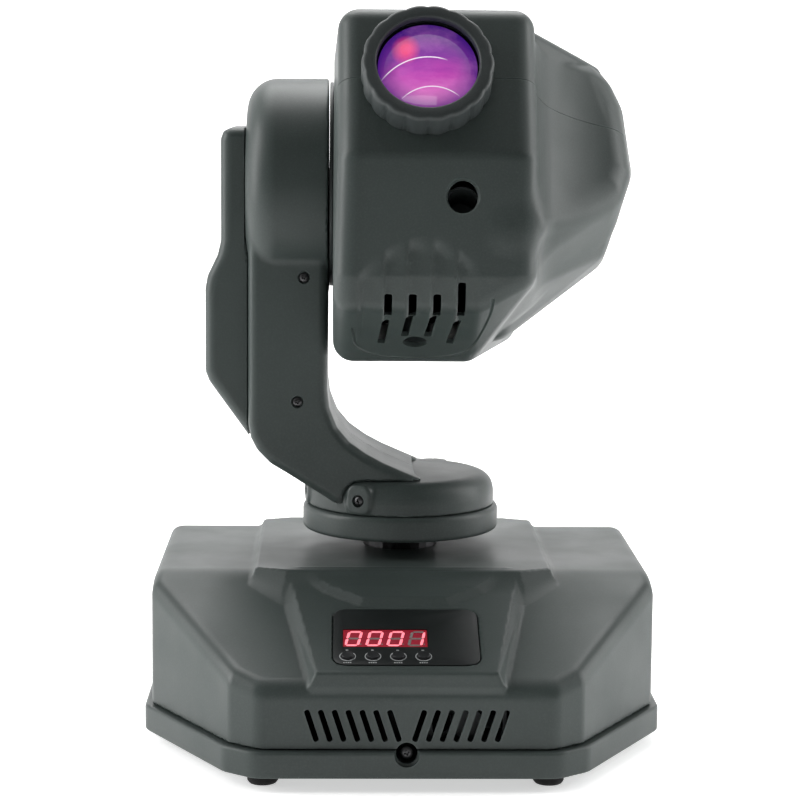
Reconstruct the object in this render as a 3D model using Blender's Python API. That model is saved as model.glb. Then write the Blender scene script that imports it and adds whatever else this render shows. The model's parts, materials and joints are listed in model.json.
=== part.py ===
"""Moving head light: a floor base, a panning one-arm yoke and a tilting head with its optics inside.

Lengths below are in millimetres and are turned into metres when a mesh is made.
The front faces -Y, up is +Z, and the pan axis is the Z axis.
"""
import math

import bmesh
import bpy
import numpy as np
from mathutils import Matrix, Vector

MM = 0.001
GAP = 0.3

# Base
TRAY_BOTTOM = 8.0
TRAY_TOP = 24.2
TRAY_FLOOR = 3.0
TRAY_LIP = 4.5
COVER_SIDE = 157.5
COVER_SIDE_END = 92.0
COVER_CORNER = (105.0, 182.0)
COVER_FRONT_HALF = 88.0
COVER_FRONT = 195.0
COVER_WALL = 3.0
COVER_ROUND = 7.0
ROOF_TOP = 106.7
ROOF_HALF = 80.0
ROOF_SLOPE = 0.381
RAISED_TOP = 110.0
RAISED_HALF = 93.0
POD_FRONT_HEIGHT = 71.0
POD_SLOPE = 0.34
FOOT_RADIUS = 9.3
FOOT_X = 85.0
FOOT_Y = 178.0

# Display panel, in its own frame: x across, y up the slope, z out of the face
PANEL_WIDTH = 87.0
PANEL_LENGTH = 62.0
PANEL_THICK = 2.0
PANEL_CENTRE_Y = -157.0
DISPLAY_SIZE = (50.3, 19.0, 7.0)
DISPLAY_AT = (-12.5, -1.8)
BUTTON_RADIUS = 3.6
BUTTON_TRAVEL = 1.0
BUTTON_ROW_Y = -22.0
BUTTON_XS = (-35.0, -20.0, -5.0, 10.0)

# Front vents
SLOT_COUNT = 7
SLOT_PITCH = 8.1
SLOT_FIRST = 7.4
SLOT_WIDTH = 3.4
SLOT_HEIGHT = 20.0
SLOT_MIDDLE = 39.0
SLOT_LEAN = 18.0

# Yoke
DISC_RADIUS = 64.4
DISC_BOTTOM = 121.9
DISC_TOP = 138.0
TIER_RADIUS = 61.6
TIER_TOP = 158.4
TILT_HEIGHT = 347.0
ARM_INNER_X = -48.4
ARM_OUTER_X = -99.0
ARM_HALF = 49.5
ARM_WALL = 3.0
PUCK_RADIUS = 68.0
PUCK_ROUND = 20.0

# Head, in its own frame: x across, y backwards from the lens, z up, origin on the tilt axis
HEAD_RAISE = 30.0
HEAD_WALL = 3.0
HEAD_LEFT = -45.0
HEAD_RIGHT = 77.0
BULGE_RIGHT = 143.0
HEAD_TOP = 53.0
LENS_X = 10.6
FRONT_FACE = 137.5
RING_LENGTH = 19.5
RING_OUTER = 39.4
RING_OPENING = 30.4
FLANGE_RADIUS = 66.0

# Drives
PAN_PULLEY_RADIUS = 40.0
TILT_PULLEY_RADIUS = 45.0
MOTOR_PULLEY_RADIUS = 8.0
PAN_MOTOR_X = 78.0
TILT_MOTOR_Z = 236.0
WHEEL_RADIUS = 46.0
WHEEL_HOLE_RING = 34.0


def clear_scene():
    for item in list(bpy.data.objects):
        bpy.data.objects.remove(item, do_unlink=True)


MATERIALS = {}


def material(name, colour, roughness, metallic=0.0):
    made = bpy.data.materials.new(name)
    made.use_nodes = True
    shader = made.node_tree.nodes["Principled BSDF"]
    shader.inputs["Base Color"].default_value = (*colour, 1.0)
    shader.inputs["Roughness"].default_value = roughness
    shader.inputs["Metallic"].default_value = metallic
    made.diffuse_color = (*colour, 1.0)
    MATERIALS[name] = made


def make_materials():
    material("body_grey", (0.050, 0.058, 0.055), 0.45)
    material("dark_plastic", (0.030, 0.034, 0.034), 0.5)
    material("panel_black", (0.012, 0.014, 0.015), 0.35)
    material("display_red", (0.35, 0.02, 0.03), 0.25)
    material("button_black", (0.02, 0.02, 0.022), 0.4)
    material("rubber_black", (0.015, 0.015, 0.015), 0.8)
    material("screw_steel", (0.16, 0.16, 0.17), 0.35, 1.0)
    material("plate_steel", (0.45, 0.46, 0.47), 0.35, 1.0)
    material("turned_aluminium", (0.62, 0.63, 0.65), 0.3, 1.0)
    material("reflector_bright", (0.85, 0.85, 0.86), 0.08, 1.0)
    material("lens_glass", (0.35, 0.15, 0.45), 0.05)
    material("clear_glass", (0.8, 0.85, 0.88), 0.05)
    material("board_green", (0.03, 0.16, 0.07), 0.5)
    material("core_copper", (0.42, 0.22, 0.12), 0.5)
    material("ceramic_white", (0.75, 0.73, 0.68), 0.5)


def finish_mesh(bm, name, slot, parent=None, smooth=None):
    """Turn a bmesh in millimetres into a named object in metres."""
    bmesh.ops.recalc_face_normals(bm, faces=bm.faces)
    mesh = bpy.data.meshes.new(name)
    bm.to_mesh(mesh)
    bm.free()
    mesh.transform(Matrix.Scale(MM, 4))
    item = bpy.data.objects.new(name, mesh)
    bpy.context.scene.collection.objects.link(item)
    item.data.materials.append(MATERIALS[slot])
    if smooth is not None:
        mesh.shade_smooth()
        mesh.set_sharp_from_angle(angle=math.radians(smooth))
    if parent is not None:
        item.parent = parent
    return item


def empty(name, at, turn=(0.0, 0.0, 0.0), parent=None):
    item = bpy.data.objects.new(name, None)
    bpy.context.scene.collection.objects.link(item)
    item.location = Vector(at) * MM
    item.rotation_euler = [math.radians(a) for a in turn]
    if parent is not None:
        item.parent = parent
    return item


def move(bm, at=(0, 0, 0), turn=None):
    if turn is not None:
        bmesh.ops.transform(bm, matrix=turn, verts=bm.verts)
    bmesh.ops.translate(bm, vec=Vector(at), verts=bm.verts)
    return bm


ALONG_X = Matrix.Rotation(math.radians(90.0), 4, "Y")
ALONG_Y = Matrix.Rotation(math.radians(-90.0), 4, "X")


def box(low, high):
    bm = bmesh.new()
    bmesh.ops.create_cube(bm, size=1.0)
    size = [b - a for a, b in zip(low, high)]
    middle = [(a + b) / 2 for a, b in zip(low, high)]
    bmesh.ops.scale(bm, vec=size, verts=bm.verts)
    bmesh.ops.translate(bm, vec=middle, verts=bm.verts)
    return bm


def revolve(profile, steps, first_angle=0.0):
    """Turn a closed (radius, height) profile about Z; points at radius 0 become poles."""
    bm = bmesh.new()
    rings = []
    for radius, height in profile:
        if radius < 1e-6:
            rings.append([bm.verts.new((0.0, 0.0, height))])
            continue
        ring = []
        for step in range(steps):
            angle = first_angle + 2 * math.pi * step / steps
            ring.append(bm.verts.new((radius * math.cos(angle), radius * math.sin(angle), height)))
        rings.append(ring)
    for index, ring in enumerate(rings):
        following = rings[(index + 1) % len(rings)]
        join_rings(bm, ring, following, steps)
    return bm


def join_rings(bm, ring, following, steps):
    if len(ring) == 1 and len(following) == 1:
        return
    for step in range(steps):
        after = (step + 1) % steps
        if len(ring) == 1:
            bm.faces.new((ring[0], following[after], following[step]))
        elif len(following) == 1:
            bm.faces.new((ring[step], ring[after], following[0]))
        else:
            bm.faces.new((ring[step], ring[after], following[after], following[step]))


def disc(radius, low, high, steps=32):
    return revolve([(0, low), (radius, low), (radius, high), (0, high)], steps)


def tube(inner, outer, low, high, steps=32):
    return revolve([(inner, low), (outer, low), (outer, high), (inner, high)], steps)


def prism(outline, low, high):
    """Extrude an XY outline from low to high."""
    bm = bmesh.new()
    bottom = [bm.verts.new((x, y, low)) for x, y in outline]
    top = [bm.verts.new((x, y, high)) for x, y in outline]
    bm.faces.new(bottom)
    bm.faces.new(top)
    for index in range(len(outline)):
        after = (index + 1) % len(outline)
        bm.faces.new((bottom[index], bottom[after], top[after], top[index]))
    return bm


def band(outer, inner, low, high):
    """Extrude the ring between two outlines that have the same number of points."""
    bm = bmesh.new()
    loops = []
    for outline, height in ((outer, low), (outer, high), (inner, high), (inner, low)):
        loops.append([bm.verts.new((x, y, height)) for x, y in outline])
    for index in range(4):
        join_rings(bm, loops[index], loops[(index + 1) % 4], len(outer))
    return bm


def hull_of(points):
    bm = bmesh.new()
    verts = [bm.verts.new(point) for point in points]
    made = bmesh.ops.convex_hull(bm, input=verts)
    loose = [v for v in bm.verts if not v.link_faces]
    inside = [g for g in made["geom_interior"] if isinstance(g, bmesh.types.BMVert)]
    gone = list({v for v in loose + inside if v.is_valid})
    bmesh.ops.delete(bm, geom=gone, context="VERTS")
    bmesh.ops.dissolve_limit(
        bm, angle_limit=math.radians(0.5), verts=bm.verts, edges=bm.edges
    )
    bmesh.ops.recalc_face_normals(bm, faces=bm.faces)
    return bm


def rounded_hull(points, inset, radius, steps):
    """Convex hull of the points, with its faces moved in by inset and its edges rounded."""
    sharp = hull_of(points)
    cloud = []
    for vert in sharp.verts:
        normals = [np.array(face.normal) for face in vert.link_faces]
        stack = np.array(normals)
        target = stack @ np.array(vert.co) - (inset + radius)
        centre = np.linalg.lstsq(stack, target, rcond=None)[0]
        directions = list(normals)
        directions.append(sum(normals))
        for edge in vert.link_edges:
            first, second = [np.array(face.normal) for face in edge.link_faces]
            for step in range(1, steps):
                share = step / steps
                directions.append(first * (1 - share) + second * share)
        for direction in directions:
            unit = direction / np.linalg.norm(direction)
            cloud.append(tuple(centre + radius * unit))
    sharp.free()
    return hull_of(cloud)


def scratch(bm):
    mesh = bpy.data.meshes.new("scratch")
    bmesh.ops.recalc_face_normals(bm, faces=bm.faces)
    bm.to_mesh(mesh)
    bm.free()
    item = bpy.data.objects.new("scratch", mesh)
    bpy.context.scene.collection.objects.link(item)
    return item


def combine(base, others, operation, merge_flats=True):
    """Boolean a list of bmeshes onto the base bmesh and return the result."""
    target = scratch(base)
    tools = [scratch(other) for other in others]
    for tool in tools:
        step = target.modifiers.new("step", "BOOLEAN")
        step.operation = operation
        step.solver = "EXACT"
        step.object = tool
    bpy.context.view_layer.update()
    graph = bpy.context.evaluated_depsgraph_get()
    mesh = bpy.data.meshes.new_from_object(target.evaluated_get(graph))
    result = bmesh.new()
    result.from_mesh(mesh)
    for item in [target, *tools]:
        bpy.data.objects.remove(item, do_unlink=True)
    bmesh.ops.remove_doubles(result, verts=result.verts, dist=0.01)
    if merge_flats:
        bmesh.ops.dissolve_limit(
            result, angle_limit=math.radians(0.2), verts=result.verts, edges=result.edges
        )
    return result


def cut(base, *tools):
    return combine(base, tools, "DIFFERENCE")


def fuse(base, *tools):
    return combine(base, tools, "UNION")


def keep(base, tool):
    return combine(base, [tool], "INTERSECT")


def shrink(outline, distance):
    """Move every side of an anticlockwise outline inwards by the distance."""
    points = [np.array(p, float) for p in outline]
    moved = []
    for index, point in enumerate(points):
        before = point - points[index - 1]
        after = points[(index + 1) % len(points)] - point
        first = np.array((-before[1], before[0])) / np.linalg.norm(before)
        second = np.array((-after[1], after[0])) / np.linalg.norm(after)
        both = first + second
        both = both / (both @ both) * 2
        moved.append(tuple(point + both * distance))
    return moved


def belt_outline(first, second, steps=28):
    """Closed path round two circles given as (x, y, radius)."""
    points = []
    for x, y, radius in (first, second):
        for step in range(steps):
            angle = 2 * math.pi * step / steps
            points.append((x + radius * math.cos(angle), y + radius * math.sin(angle)))
    return convex_path(points)


def convex_path(points):
    ordered = sorted(points)
    halves = []
    for run in (ordered, ordered[::-1]):
        chain = []
        for point in run:
            while len(chain) > 1 and turn_of(chain[-2], chain[-1], point) <= 1e-9:
                chain.pop()
            chain.append(point)
        halves.append(chain[:-1])
    return halves[0] + halves[1]


def turn_of(a, b, c):
    return (b[0] - a[0]) * (c[1] - b[1]) - (b[1] - a[1]) * (c[0] - b[0])


def belt(first, second, low, high, thick=1.6):
    inner = belt_outline(first, second)
    outer = shrink(inner, -thick)
    return band(outer, inner, low, high)


# ---------------------------------------------------------------- base


def plan_outline(grow=0.0):
    """Eight-sided plan of the base with softened front and back corners, anticlockwise."""
    quarter = [
        (COVER_SIDE, COVER_SIDE_END),
        COVER_CORNER,
        (COVER_FRONT_HALF, COVER_FRONT),
    ]
    outline = list(quarter)
    outline += [(-x, y) for x, y in reversed(quarter)]
    outline += [(-x, -y) for x, y in quarter]
    outline += [(x, -y) for x, y in reversed(quarter)]
    return shrink(soften(outline, 14.0, 4), -grow)


def soften(outline, radius, steps):
    """Replace each corner of an anticlockwise outline with an arc."""
    result = []
    points = [np.array(p, float) for p in outline]
    for index, point in enumerate(points):
        back = points[index - 1] - point
        ahead = points[(index + 1) % len(points)] - point
        back_length = np.linalg.norm(back)
        ahead_length = np.linalg.norm(ahead)
        back = back / back_length
        ahead = ahead / ahead_length
        half = math.acos(max(-1.0, min(1.0, float(back @ ahead)))) / 2
        reach = min(radius / math.tan(half), 0.45 * back_length, 0.45 * ahead_length)
        start = point + back * reach
        end = point + ahead * reach
        for step in range(steps + 1):
            share = step / steps
            bend = (1 - share) ** 2 * start + 2 * share * (1 - share) * point + share ** 2 * end
            result.append((float(bend[0]), float(bend[1])))
    return result


def roof_height(y):
    return ROOF_TOP - ROOF_SLOPE * max(0.0, abs(y) - ROOF_HALF)


def cover_points(bottom):
    corners = [
        (COVER_SIDE, ROOF_HALF),
        (COVER_SIDE, COVER_SIDE_END),
        COVER_CORNER,
        (COVER_FRONT_HALF, COVER_FRONT),
    ]
    points = []
    for x, y in corners:
        for side in (-1, 1):
            for end in (-1, 1):
                points.append((side * x, end * y, roof_height(y)))
                points.append((side * x, end * y, bottom))
    return points


def pod_height(y):
    return POD_FRONT_HEIGHT + POD_SLOPE * (COVER_FRONT - 0.5 - abs(y))


def raised_centre(end):
    """The raised middle of the roof and its tongue down one slope; end is -1 front, 1 back."""
    platform = []
    for side in (-1, 1):
        platform.append((side * RAISED_HALF, end * -20.0, RAISED_TOP))
        platform.append((side * RAISED_HALF, end * 82.0, RAISED_TOP))
        platform.append((side * 74.0, end * 90.0, RAISED_TOP))
        platform.append((side * 97.0, end * 98.0, roof_height(98.0) - 3.0))
        platform.append((side * 76.0, end * 119.0, roof_height(119.0) - 3.0))
        platform.append((side * 97.0, end * -20.0, ROOF_TOP - 3.0))
    pod = []
    for side in (-1, 1):
        pod.append((side * 72.0, end * 84.0, pod_height(84.0) - 1.0))
        pod.append((side * 53.5, end * (COVER_FRONT - 0.2), POD_FRONT_HEIGHT - 0.2))
        pod.append((side * 80.0, end * 84.0, roof_height(84.0) - 4.0))
        pod.append((side * 58.5, end * (COVER_FRONT - 0.2), roof_height(195.0) - 4.0))
    tongue = []
    for side in (-1, 1):
        for x, y, lift in ((66.0, 82.0, 2.2), (44.0, 106.0, 2.2), (25.0, 119.0, 2.2)):
            tongue.append((side * x, end * y, min(RAISED_TOP, pod_height(y) + lift)))
        for x, y in ((74.0, 82.0), (51.0, 110.0), (28.0, 125.0)):
            tongue.append((side * x, end * y, pod_height(y) - 2.0))
    return [hull_of(platform), hull_of(pod), hull_of(tongue)]


def panel_frame():
    """Matrix from the display panel's frame (x, up the slope, out of the face) to the base."""
    lean = math.atan(POD_SLOPE)
    turn = Matrix.Rotation(lean, 4, "X")
    height = pod_height(PANEL_CENTRE_Y)
    return Matrix.Translation((0.0, PANEL_CENTRE_Y, height)) @ turn


def in_panel(bm):
    bmesh.ops.transform(bm, matrix=panel_frame(), verts=bm.verts)
    return bm


def front_slots():
    tools = []
    for side in (-1, 1):
        for index in range(SLOT_COUNT):
            middle = side * (SLOT_FIRST + SLOT_PITCH * index)
            half_w = SLOT_WIDTH / 2
            half_h = SLOT_HEIGHT / 2
            tool = box((-half_w, -12, -half_h), (half_w, 12, half_h))
            lean = Matrix.Rotation(math.radians(side * SLOT_LEAN), 4, "Y")
            tools.append(move(tool, (middle, -COVER_FRONT, SLOT_MIDDLE), lean))
    return tools


INLET_X = -62.0
FUSE_X = -20.0
DMX_XS = (20.0, 60.0)
SOCKET_Z = 42.0


def rear_openings():
    tools = [
        box(
            (INLET_X - 15, COVER_FRONT - 14, SOCKET_Z - 12),
            (INLET_X + 15, COVER_FRONT + 8, SOCKET_Z + 12),
        ),
        move(disc(7.3, -14, 10, 24), (FUSE_X, COVER_FRONT, SOCKET_Z), ALONG_Y),
    ]
    for x in DMX_XS:
        tools.append(move(disc(12.3, -14, 10, 24), (x, COVER_FRONT, SOCKET_Z), ALONG_Y))
    return tools


SCREW_Z = TRAY_TOP - 1.6


def screw_recess(end):
    turn = ALONG_Y if end > 0 else ALONG_Y.inverted()
    return move(disc(6.4, -4.5, 12, 20), (0, end * (COVER_FRONT + 1.0), SCREW_Z), turn)


def build_cover():
    outer = rounded_hull(cover_points(-20.0), 0.0, COVER_ROUND, 3)
    parts = raised_centre(-1) + raised_centre(1)
    body = fuse(outer, *parts)
    below = box((-300, -300, -100), (300, 300, TRAY_TOP + GAP))
    inner = rounded_hull(cover_points(-40.0), COVER_WALL, COVER_ROUND - COVER_WALL, 2)
    pocket = in_panel(prism(rounded_rectangle(PANEL_WIDTH + 0.8, PANEL_LENGTH + 0.8, 9.4), -2.6, 20))
    window = in_panel(box((-40, -27, -30), (38, 15, 0)))
    tools = [below, inner, pocket, window]
    tools.append(disc(24.6, 90, 130, 40))
    tools.append(screw_recess(-1))
    tools.append(screw_recess(1))
    tools.extend(front_slots())
    tools.extend(rear_openings())
    finish_mesh(cut(body, *tools), "base_cover", "body_grey", smooth=25)


def rounded_rectangle(width, length, radius, steps=4):
    outline = [
        (width / 2, length / 2),
        (-width / 2, length / 2),
        (-width / 2, -length / 2),
        (width / 2, -length / 2),
    ]
    return soften(outline, radius, steps)


def build_tray():
    outer = prism(plan_outline(TRAY_LIP), TRAY_BOTTOM, TRAY_TOP)
    inner = prism(plan_outline(-COVER_WALL), TRAY_BOTTOM + TRAY_FLOOR, TRAY_TOP + 5)
    tools = [inner, screw_recess(-1), screw_recess(1)]
    finish_mesh(cut(outer, *tools), "base_tray", "body_grey")


def build_feet():
    profile = [
        (0, 0), (FOOT_RADIUS - 1.0, 0), (FOOT_RADIUS, 1.4), (FOOT_RADIUS, TRAY_BOTTOM - GAP),
        (0, TRAY_BOTTOM - GAP),
    ]
    spots = (("front_left", -1, -1), ("front_right", 1, -1), ("rear_left", -1, 1), ("rear_right", 1, 1))
    for name, side, end in spots:
        foot = revolve(profile, 16)
        item = finish_mesh(foot, "foot_" + name, "rubber_black", smooth=40)
        item.location = (side * FOOT_X * MM, end * FOOT_Y * MM, 0.0)


def panel_item(bm, name, slot, smooth=None):
    item = finish_mesh(bm, name, slot, smooth=smooth)
    frame = panel_frame()
    item.matrix_world = Matrix.Translation(frame.to_translation() * MM) @ frame.to_3x3().to_4x4()
    return item


def build_display():
    plate = prism(rounded_rectangle(PANEL_WIDTH, PANEL_LENGTH, 9.0), -PANEL_THICK - 0.2, -0.2)
    half_x = DISPLAY_SIZE[0] / 2 + GAP
    half_y = DISPLAY_SIZE[1] / 2 + GAP
    x, y = DISPLAY_AT
    tools = [box((x - half_x, y - half_y, -5), (x + half_x, y + half_y, 5))]
    for button_x in BUTTON_XS:
        tools.append(move(disc(BUTTON_RADIUS + GAP, -5, 5, 20), (button_x, BUTTON_ROW_Y, 0)))
    panel_item(cut(plate, *tools), "display_panel", "panel_black")
    half_x = DISPLAY_SIZE[0] / 2
    half_y = DISPLAY_SIZE[1] / 2
    led = box((x - half_x, y - half_y, -0.7 - DISPLAY_SIZE[2]), (x + half_x, y + half_y, -0.7))
    panel_item(led, "led_display", "display_red")
    for index, button_x in enumerate(BUTTON_XS):
        cap = BUTTON_RADIUS - 0.6
        profile = [(0, -7), (BUTTON_RADIUS, -7), (BUTTON_RADIUS, 1.0), (cap, 1.5), (0, 1.5)]
        item = panel_item(revolve(profile, 16), f"menu_button_{index + 1}", "button_black", smooth=40)
        shift = Matrix.Translation((button_x * MM, BUTTON_ROW_Y * MM, 0.0))
        item.matrix_world = item.matrix_world @ shift


def screw(head_radius=3.6, head=2.2, shank=6.0):
    """Domed screw along Z, head up, with the underside of the head at zero."""
    profile = [
        (0, -shank), (1.5, -shank), (1.5, 0), (head_radius, 0), (head_radius, head * 0.45),
        (head_radius * 0.7, head * 0.85), (0, head),
    ]
    slot_a = box((-head_radius * 0.6, -0.45, head - 1.1), (head_radius * 0.6, 0.45, head + 2))
    slot_b = box((-0.45, -head_radius * 0.6, head - 1.1), (0.45, head_radius * 0.6, head + 2))
    return cut(revolve(profile, 12), slot_a, slot_b)


def build_base_screws():
    for name, end in (("base_screw_front", -1), ("base_screw_rear", 1)):
        item = finish_mesh(screw(4.0, 2.4, 0.6), name, "screw_steel", smooth=40)
        item.rotation_euler = (math.radians(90.0 * -end), 0.0, 0.0)
        item.location = (0.0, end * (COVER_FRONT - 2.5) * MM, SCREW_Z * MM)


def build_rear_sockets():
    y = COVER_FRONT + GAP
    body = box((INLET_X - 20, y, SOCKET_Z - 14), (INLET_X + 20, y + 2.5, SOCKET_Z + 14))
    shell = box((INLET_X - 14.5, y - 13, SOCKET_Z - 11.5), (INLET_X + 14.5, y + 1, SOCKET_Z + 11.5))
    cavity = box((INLET_X - 11.5, y - 11, SOCKET_Z - 8), (INLET_X + 11.5, y + 10, SOCKET_Z + 8))
    inlet = cut(fuse(body, shell), cavity)
    pins = []
    for x, z in ((-6.5, -1.5), (0.0, 3.0), (6.5, -1.5)):
        pin_x = INLET_X + x
        pin_z = SOCKET_Z + z
        pins.append(box((pin_x - 1, y - 12, pin_z - 2), (pin_x + 1, y - 2, pin_z + 2)))
    finish_mesh(fuse(inlet, *pins), "mains_inlet", "dark_plastic")
    cap = [
        (0, -12), (6.9, -12), (6.9, GAP), (9.5, GAP), (9.5, 1.6), (8.0, 2.0), (8.0, 3.8), (7.4, 4.4),
        (0, 4.4),
    ]
    fuse_cap = cut(revolve(cap, 24), box((-9, -0.9, 3.2), (9, 0.9, 12)))
    fuse_cap = move(fuse_cap, (FUSE_X, COVER_FRONT, SOCKET_Z), ALONG_Y)
    finish_mesh(fuse_cap, "fuse_holder", "dark_plastic", smooth=40)
    for name, x, male in (("dmx_in_socket", DMX_XS[0], True), ("dmx_out_socket", DMX_XS[1], False)):
        finish_mesh(dmx_socket(x, male), name, "dark_plastic")


def dmx_socket(x, male):
    plate = prism(rounded_rectangle(26.0, 31.0, 3.0, 2), GAP, 2.3)
    barrel = disc(11.9, -13, 1.0, 24)
    socket = fuse(plate, barrel)
    pin_spots = [(-4.0, 2.5), (4.0, 2.5), (0.0, -4.0)]
    if male:
        socket = cut(socket, disc(8.8, -11, 10, 20))
        pins = [move(disc(1.3, -12, -2.0, 10), (px, py, 0)) for px, py in pin_spots]
        socket = fuse(socket, *pins)
    else:
        ring = tube(7.7, 8.9, -3.5, 10, 20)
        holes = [move(disc(1.5, -9, 10, 10), (px, py, 0)) for px, py in pin_spots]
        socket = cut(socket, ring, *holes)
    return move(socket, (x, COVER_FRONT, SOCKET_Z), ALONG_Y)


def build_base_insides():
    floor = TRAY_BOTTOM + TRAY_FLOOR + GAP
    core = box((-135, 10, floor), (-60, 90, floor + 52))
    winding = box((-125, 1, floor + 8), (-70, 99, floor + 44))
    finish_mesh(fuse(core, winding), "power_transformer", "core_copper")
    board = box((5, 85, floor + 6), (105, 145, floor + 7.6))
    parts = [
        box((13, 93, floor + 7), (41, 119, floor + 22)),
        box((51, 97, floor + 7), (69, 113, floor + 12)),
        move(disc(7.0, floor + 7, floor + 30, 16), (88, 103, 0)),
        move(disc(7.0, floor + 7, floor + 30, 16), (88, 127, 0)),
        box((13, 129, floor + 7), (65, 139, floor + 14)),
    ]
    posts = [move(disc(2.5, floor, floor + 6.5, 8), (x, y, 0)) for x in (10, 100) for y in (90, 140)]
    finish_mesh(fuse(board, *parts, *posts), "main_board", "board_green")


def fan_frame(size, deep):
    half = size / 2
    frame = box((-half, -half, 0), (half, half, deep))
    frame = cut(frame, disc(half - 2.0, -1, deep + 1, 32))
    hub = disc(10, 0, 2.0, 20)
    struts = []
    for angle in (45, 135):
        strut = box((-half + 0.5, -1.5, 0), (half - 0.5, 1.5, 2.0))
        struts.append(move(strut, (0, 0, 0), turned(angle)))
    return fuse(frame, hub, *struts)


def turned(angle):
    return Matrix.Rotation(math.radians(angle), 4, "Z")


def fan_rotor(size, deep):
    reach = size / 2 - 3.2
    hub = disc(9.5, 2.6, deep - 0.6, 24)
    blades = []
    for index in range(5):
        blade = box((6, -1.0, 3.4), (reach, 1.0, deep - 2.0))
        pitch = Matrix.Rotation(math.radians(32.0), 4, "X")
        blades.append(move(move(blade, (0, 0, -deep / 2)), (0, 0, 0), turned(72.0 * index) @ pitch))
    shift = [move(blade, (0, 0, deep / 2 + 0.6)) for blade in blades]
    return fuse(hub, *shift)


FAN_SIZE = 46.0
FAN_DEEP = 14.0
BASE_FAN_AT = (36.0, -172.0, 38.0)


def build_base_fan():
    holder = empty("base_fan_axis", BASE_FAN_AT, (90.0, 0.0, 0.0))
    finish_mesh(fan_frame(FAN_SIZE, FAN_DEEP), "base_fan_frame", "dark_plastic", holder)
    finish_mesh(fan_rotor(FAN_SIZE, FAN_DEEP), "base_fan_rotor", "dark_plastic", holder)


PAN_PULLEY_LOW = 62.0
PAN_PULLEY_HIGH = 72.0


def build_pan_drive():
    bearing = [
        (16.6, 82), (24.0, 82), (24.0, 98.0), (36.0, 98.0), (36.0, ROOF_TOP - COVER_WALL - GAP),
        (24.0, ROOF_TOP - COVER_WALL - GAP), (24.0, DISC_BOTTOM - 0.6), (16.6, DISC_BOTTOM - 0.6),
    ]
    finish_mesh(revolve(bearing, 24), "pan_bearing", "turned_aluminium", smooth=40)
    half = 21.0
    top = 58.0
    motor = box((PAN_MOTOR_X - half, -half, 20), (PAN_MOTOR_X + half, half, top))
    motor = fuse(motor, move(disc(11, top - 1, top + 1.8, 24), (PAN_MOTOR_X, 0, 0)))
    floor = TRAY_BOTTOM + TRAY_FLOOR + GAP
    legs = box((PAN_MOTOR_X - half, -half - 10, floor), (PAN_MOTOR_X + half, half + 10, 20.5))
    motor = fuse(motor, legs)
    motor = cut(motor, move(disc(3.3, 45, top + 5, 16), (PAN_MOTOR_X, 0, 0)))
    finish_mesh(motor, "pan_motor", "plate_steel")
    small = [
        (0, 46), (3.0, 46), (3.0, PAN_PULLEY_LOW - 1), (MOTOR_PULLEY_RADIUS + 1.8, PAN_PULLEY_LOW - 1),
        (MOTOR_PULLEY_RADIUS + 1.8, PAN_PULLEY_LOW), (MOTOR_PULLEY_RADIUS, PAN_PULLEY_LOW),
        (MOTOR_PULLEY_RADIUS, PAN_PULLEY_HIGH), (MOTOR_PULLEY_RADIUS + 1.8, PAN_PULLEY_HIGH),
        (MOTOR_PULLEY_RADIUS + 1.8, PAN_PULLEY_HIGH + 1), (0, PAN_PULLEY_HIGH + 1),
    ]
    item = finish_mesh(revolve(small, 16), "pan_motor_pulley", "turned_aluminium", smooth=40)
    item.location = (PAN_MOTOR_X * MM, 0.0, 0.0)
    loop = belt(
        (0.0, 0.0, PAN_PULLEY_RADIUS + 0.4), (PAN_MOTOR_X, 0.0, MOTOR_PULLEY_RADIUS + 0.4),
        PAN_PULLEY_LOW + 0.8, PAN_PULLEY_HIGH - 0.8,
    )
    finish_mesh(loop, "pan_belt", "rubber_black", smooth=40)


# ---------------------------------------------------------------- yoke


def build_turntable(yoke):
    disc_profile = [
        (16.3, DISC_BOTTOM), (DISC_RADIUS - 1.5, DISC_BOTTOM), (DISC_RADIUS, DISC_BOTTOM + 1.5),
        (DISC_RADIUS, DISC_TOP - 4.5), (DISC_RADIUS - 1.3, DISC_TOP - 1.3), (DISC_RADIUS - 4.5, DISC_TOP),
        (16.3, DISC_TOP),
    ]
    finish_mesh(revolve(disc_profile, 48), "turntable", "body_grey", yoke, smooth=30)
    low = DISC_TOP + GAP
    tier = [
        (TIER_RADIUS - 3.0, low), (TIER_RADIUS, low), (TIER_RADIUS, TIER_TOP - 9.0),
        (TIER_RADIUS - 2.6, TIER_TOP - 3.2), (TIER_RADIUS - 8.0, TIER_TOP - 0.4),
        (TIER_RADIUS - 12.0, TIER_TOP), (12.0, TIER_TOP), (12.0, TIER_TOP - 3.0),
        (TIER_RADIUS - 9.0, TIER_TOP - 3.6), (TIER_RADIUS - 3.0, TIER_TOP - 11.0),
    ]
    finish_mesh(revolve(tier, 44), "turntable_cover", "body_grey", yoke, smooth=30)
    shaft = [
        (11.0, 50), (16.0, 50), (16.0, DISC_TOP + GAP), (24.0, DISC_TOP + GAP), (24.0, DISC_TOP + 3.3),
        (11.0, DISC_TOP + 3.3),
    ]
    finish_mesh(revolve(shaft, 24), "pan_shaft", "turned_aluminium", yoke, smooth=40)
    pulley = [
        (16.3, PAN_PULLEY_LOW - 6), (22, PAN_PULLEY_LOW - 6), (22, PAN_PULLEY_LOW - 1.2),
        (PAN_PULLEY_RADIUS + 2.2, PAN_PULLEY_LOW - 1.2), (PAN_PULLEY_RADIUS + 2.2, PAN_PULLEY_LOW),
        (PAN_PULLEY_RADIUS, PAN_PULLEY_LOW), (PAN_PULLEY_RADIUS, PAN_PULLEY_HIGH), (16.3, PAN_PULLEY_HIGH),
    ]
    finish_mesh(revolve(pulley, 28), "pan_pulley", "turned_aluminium", yoke, smooth=40)


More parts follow.
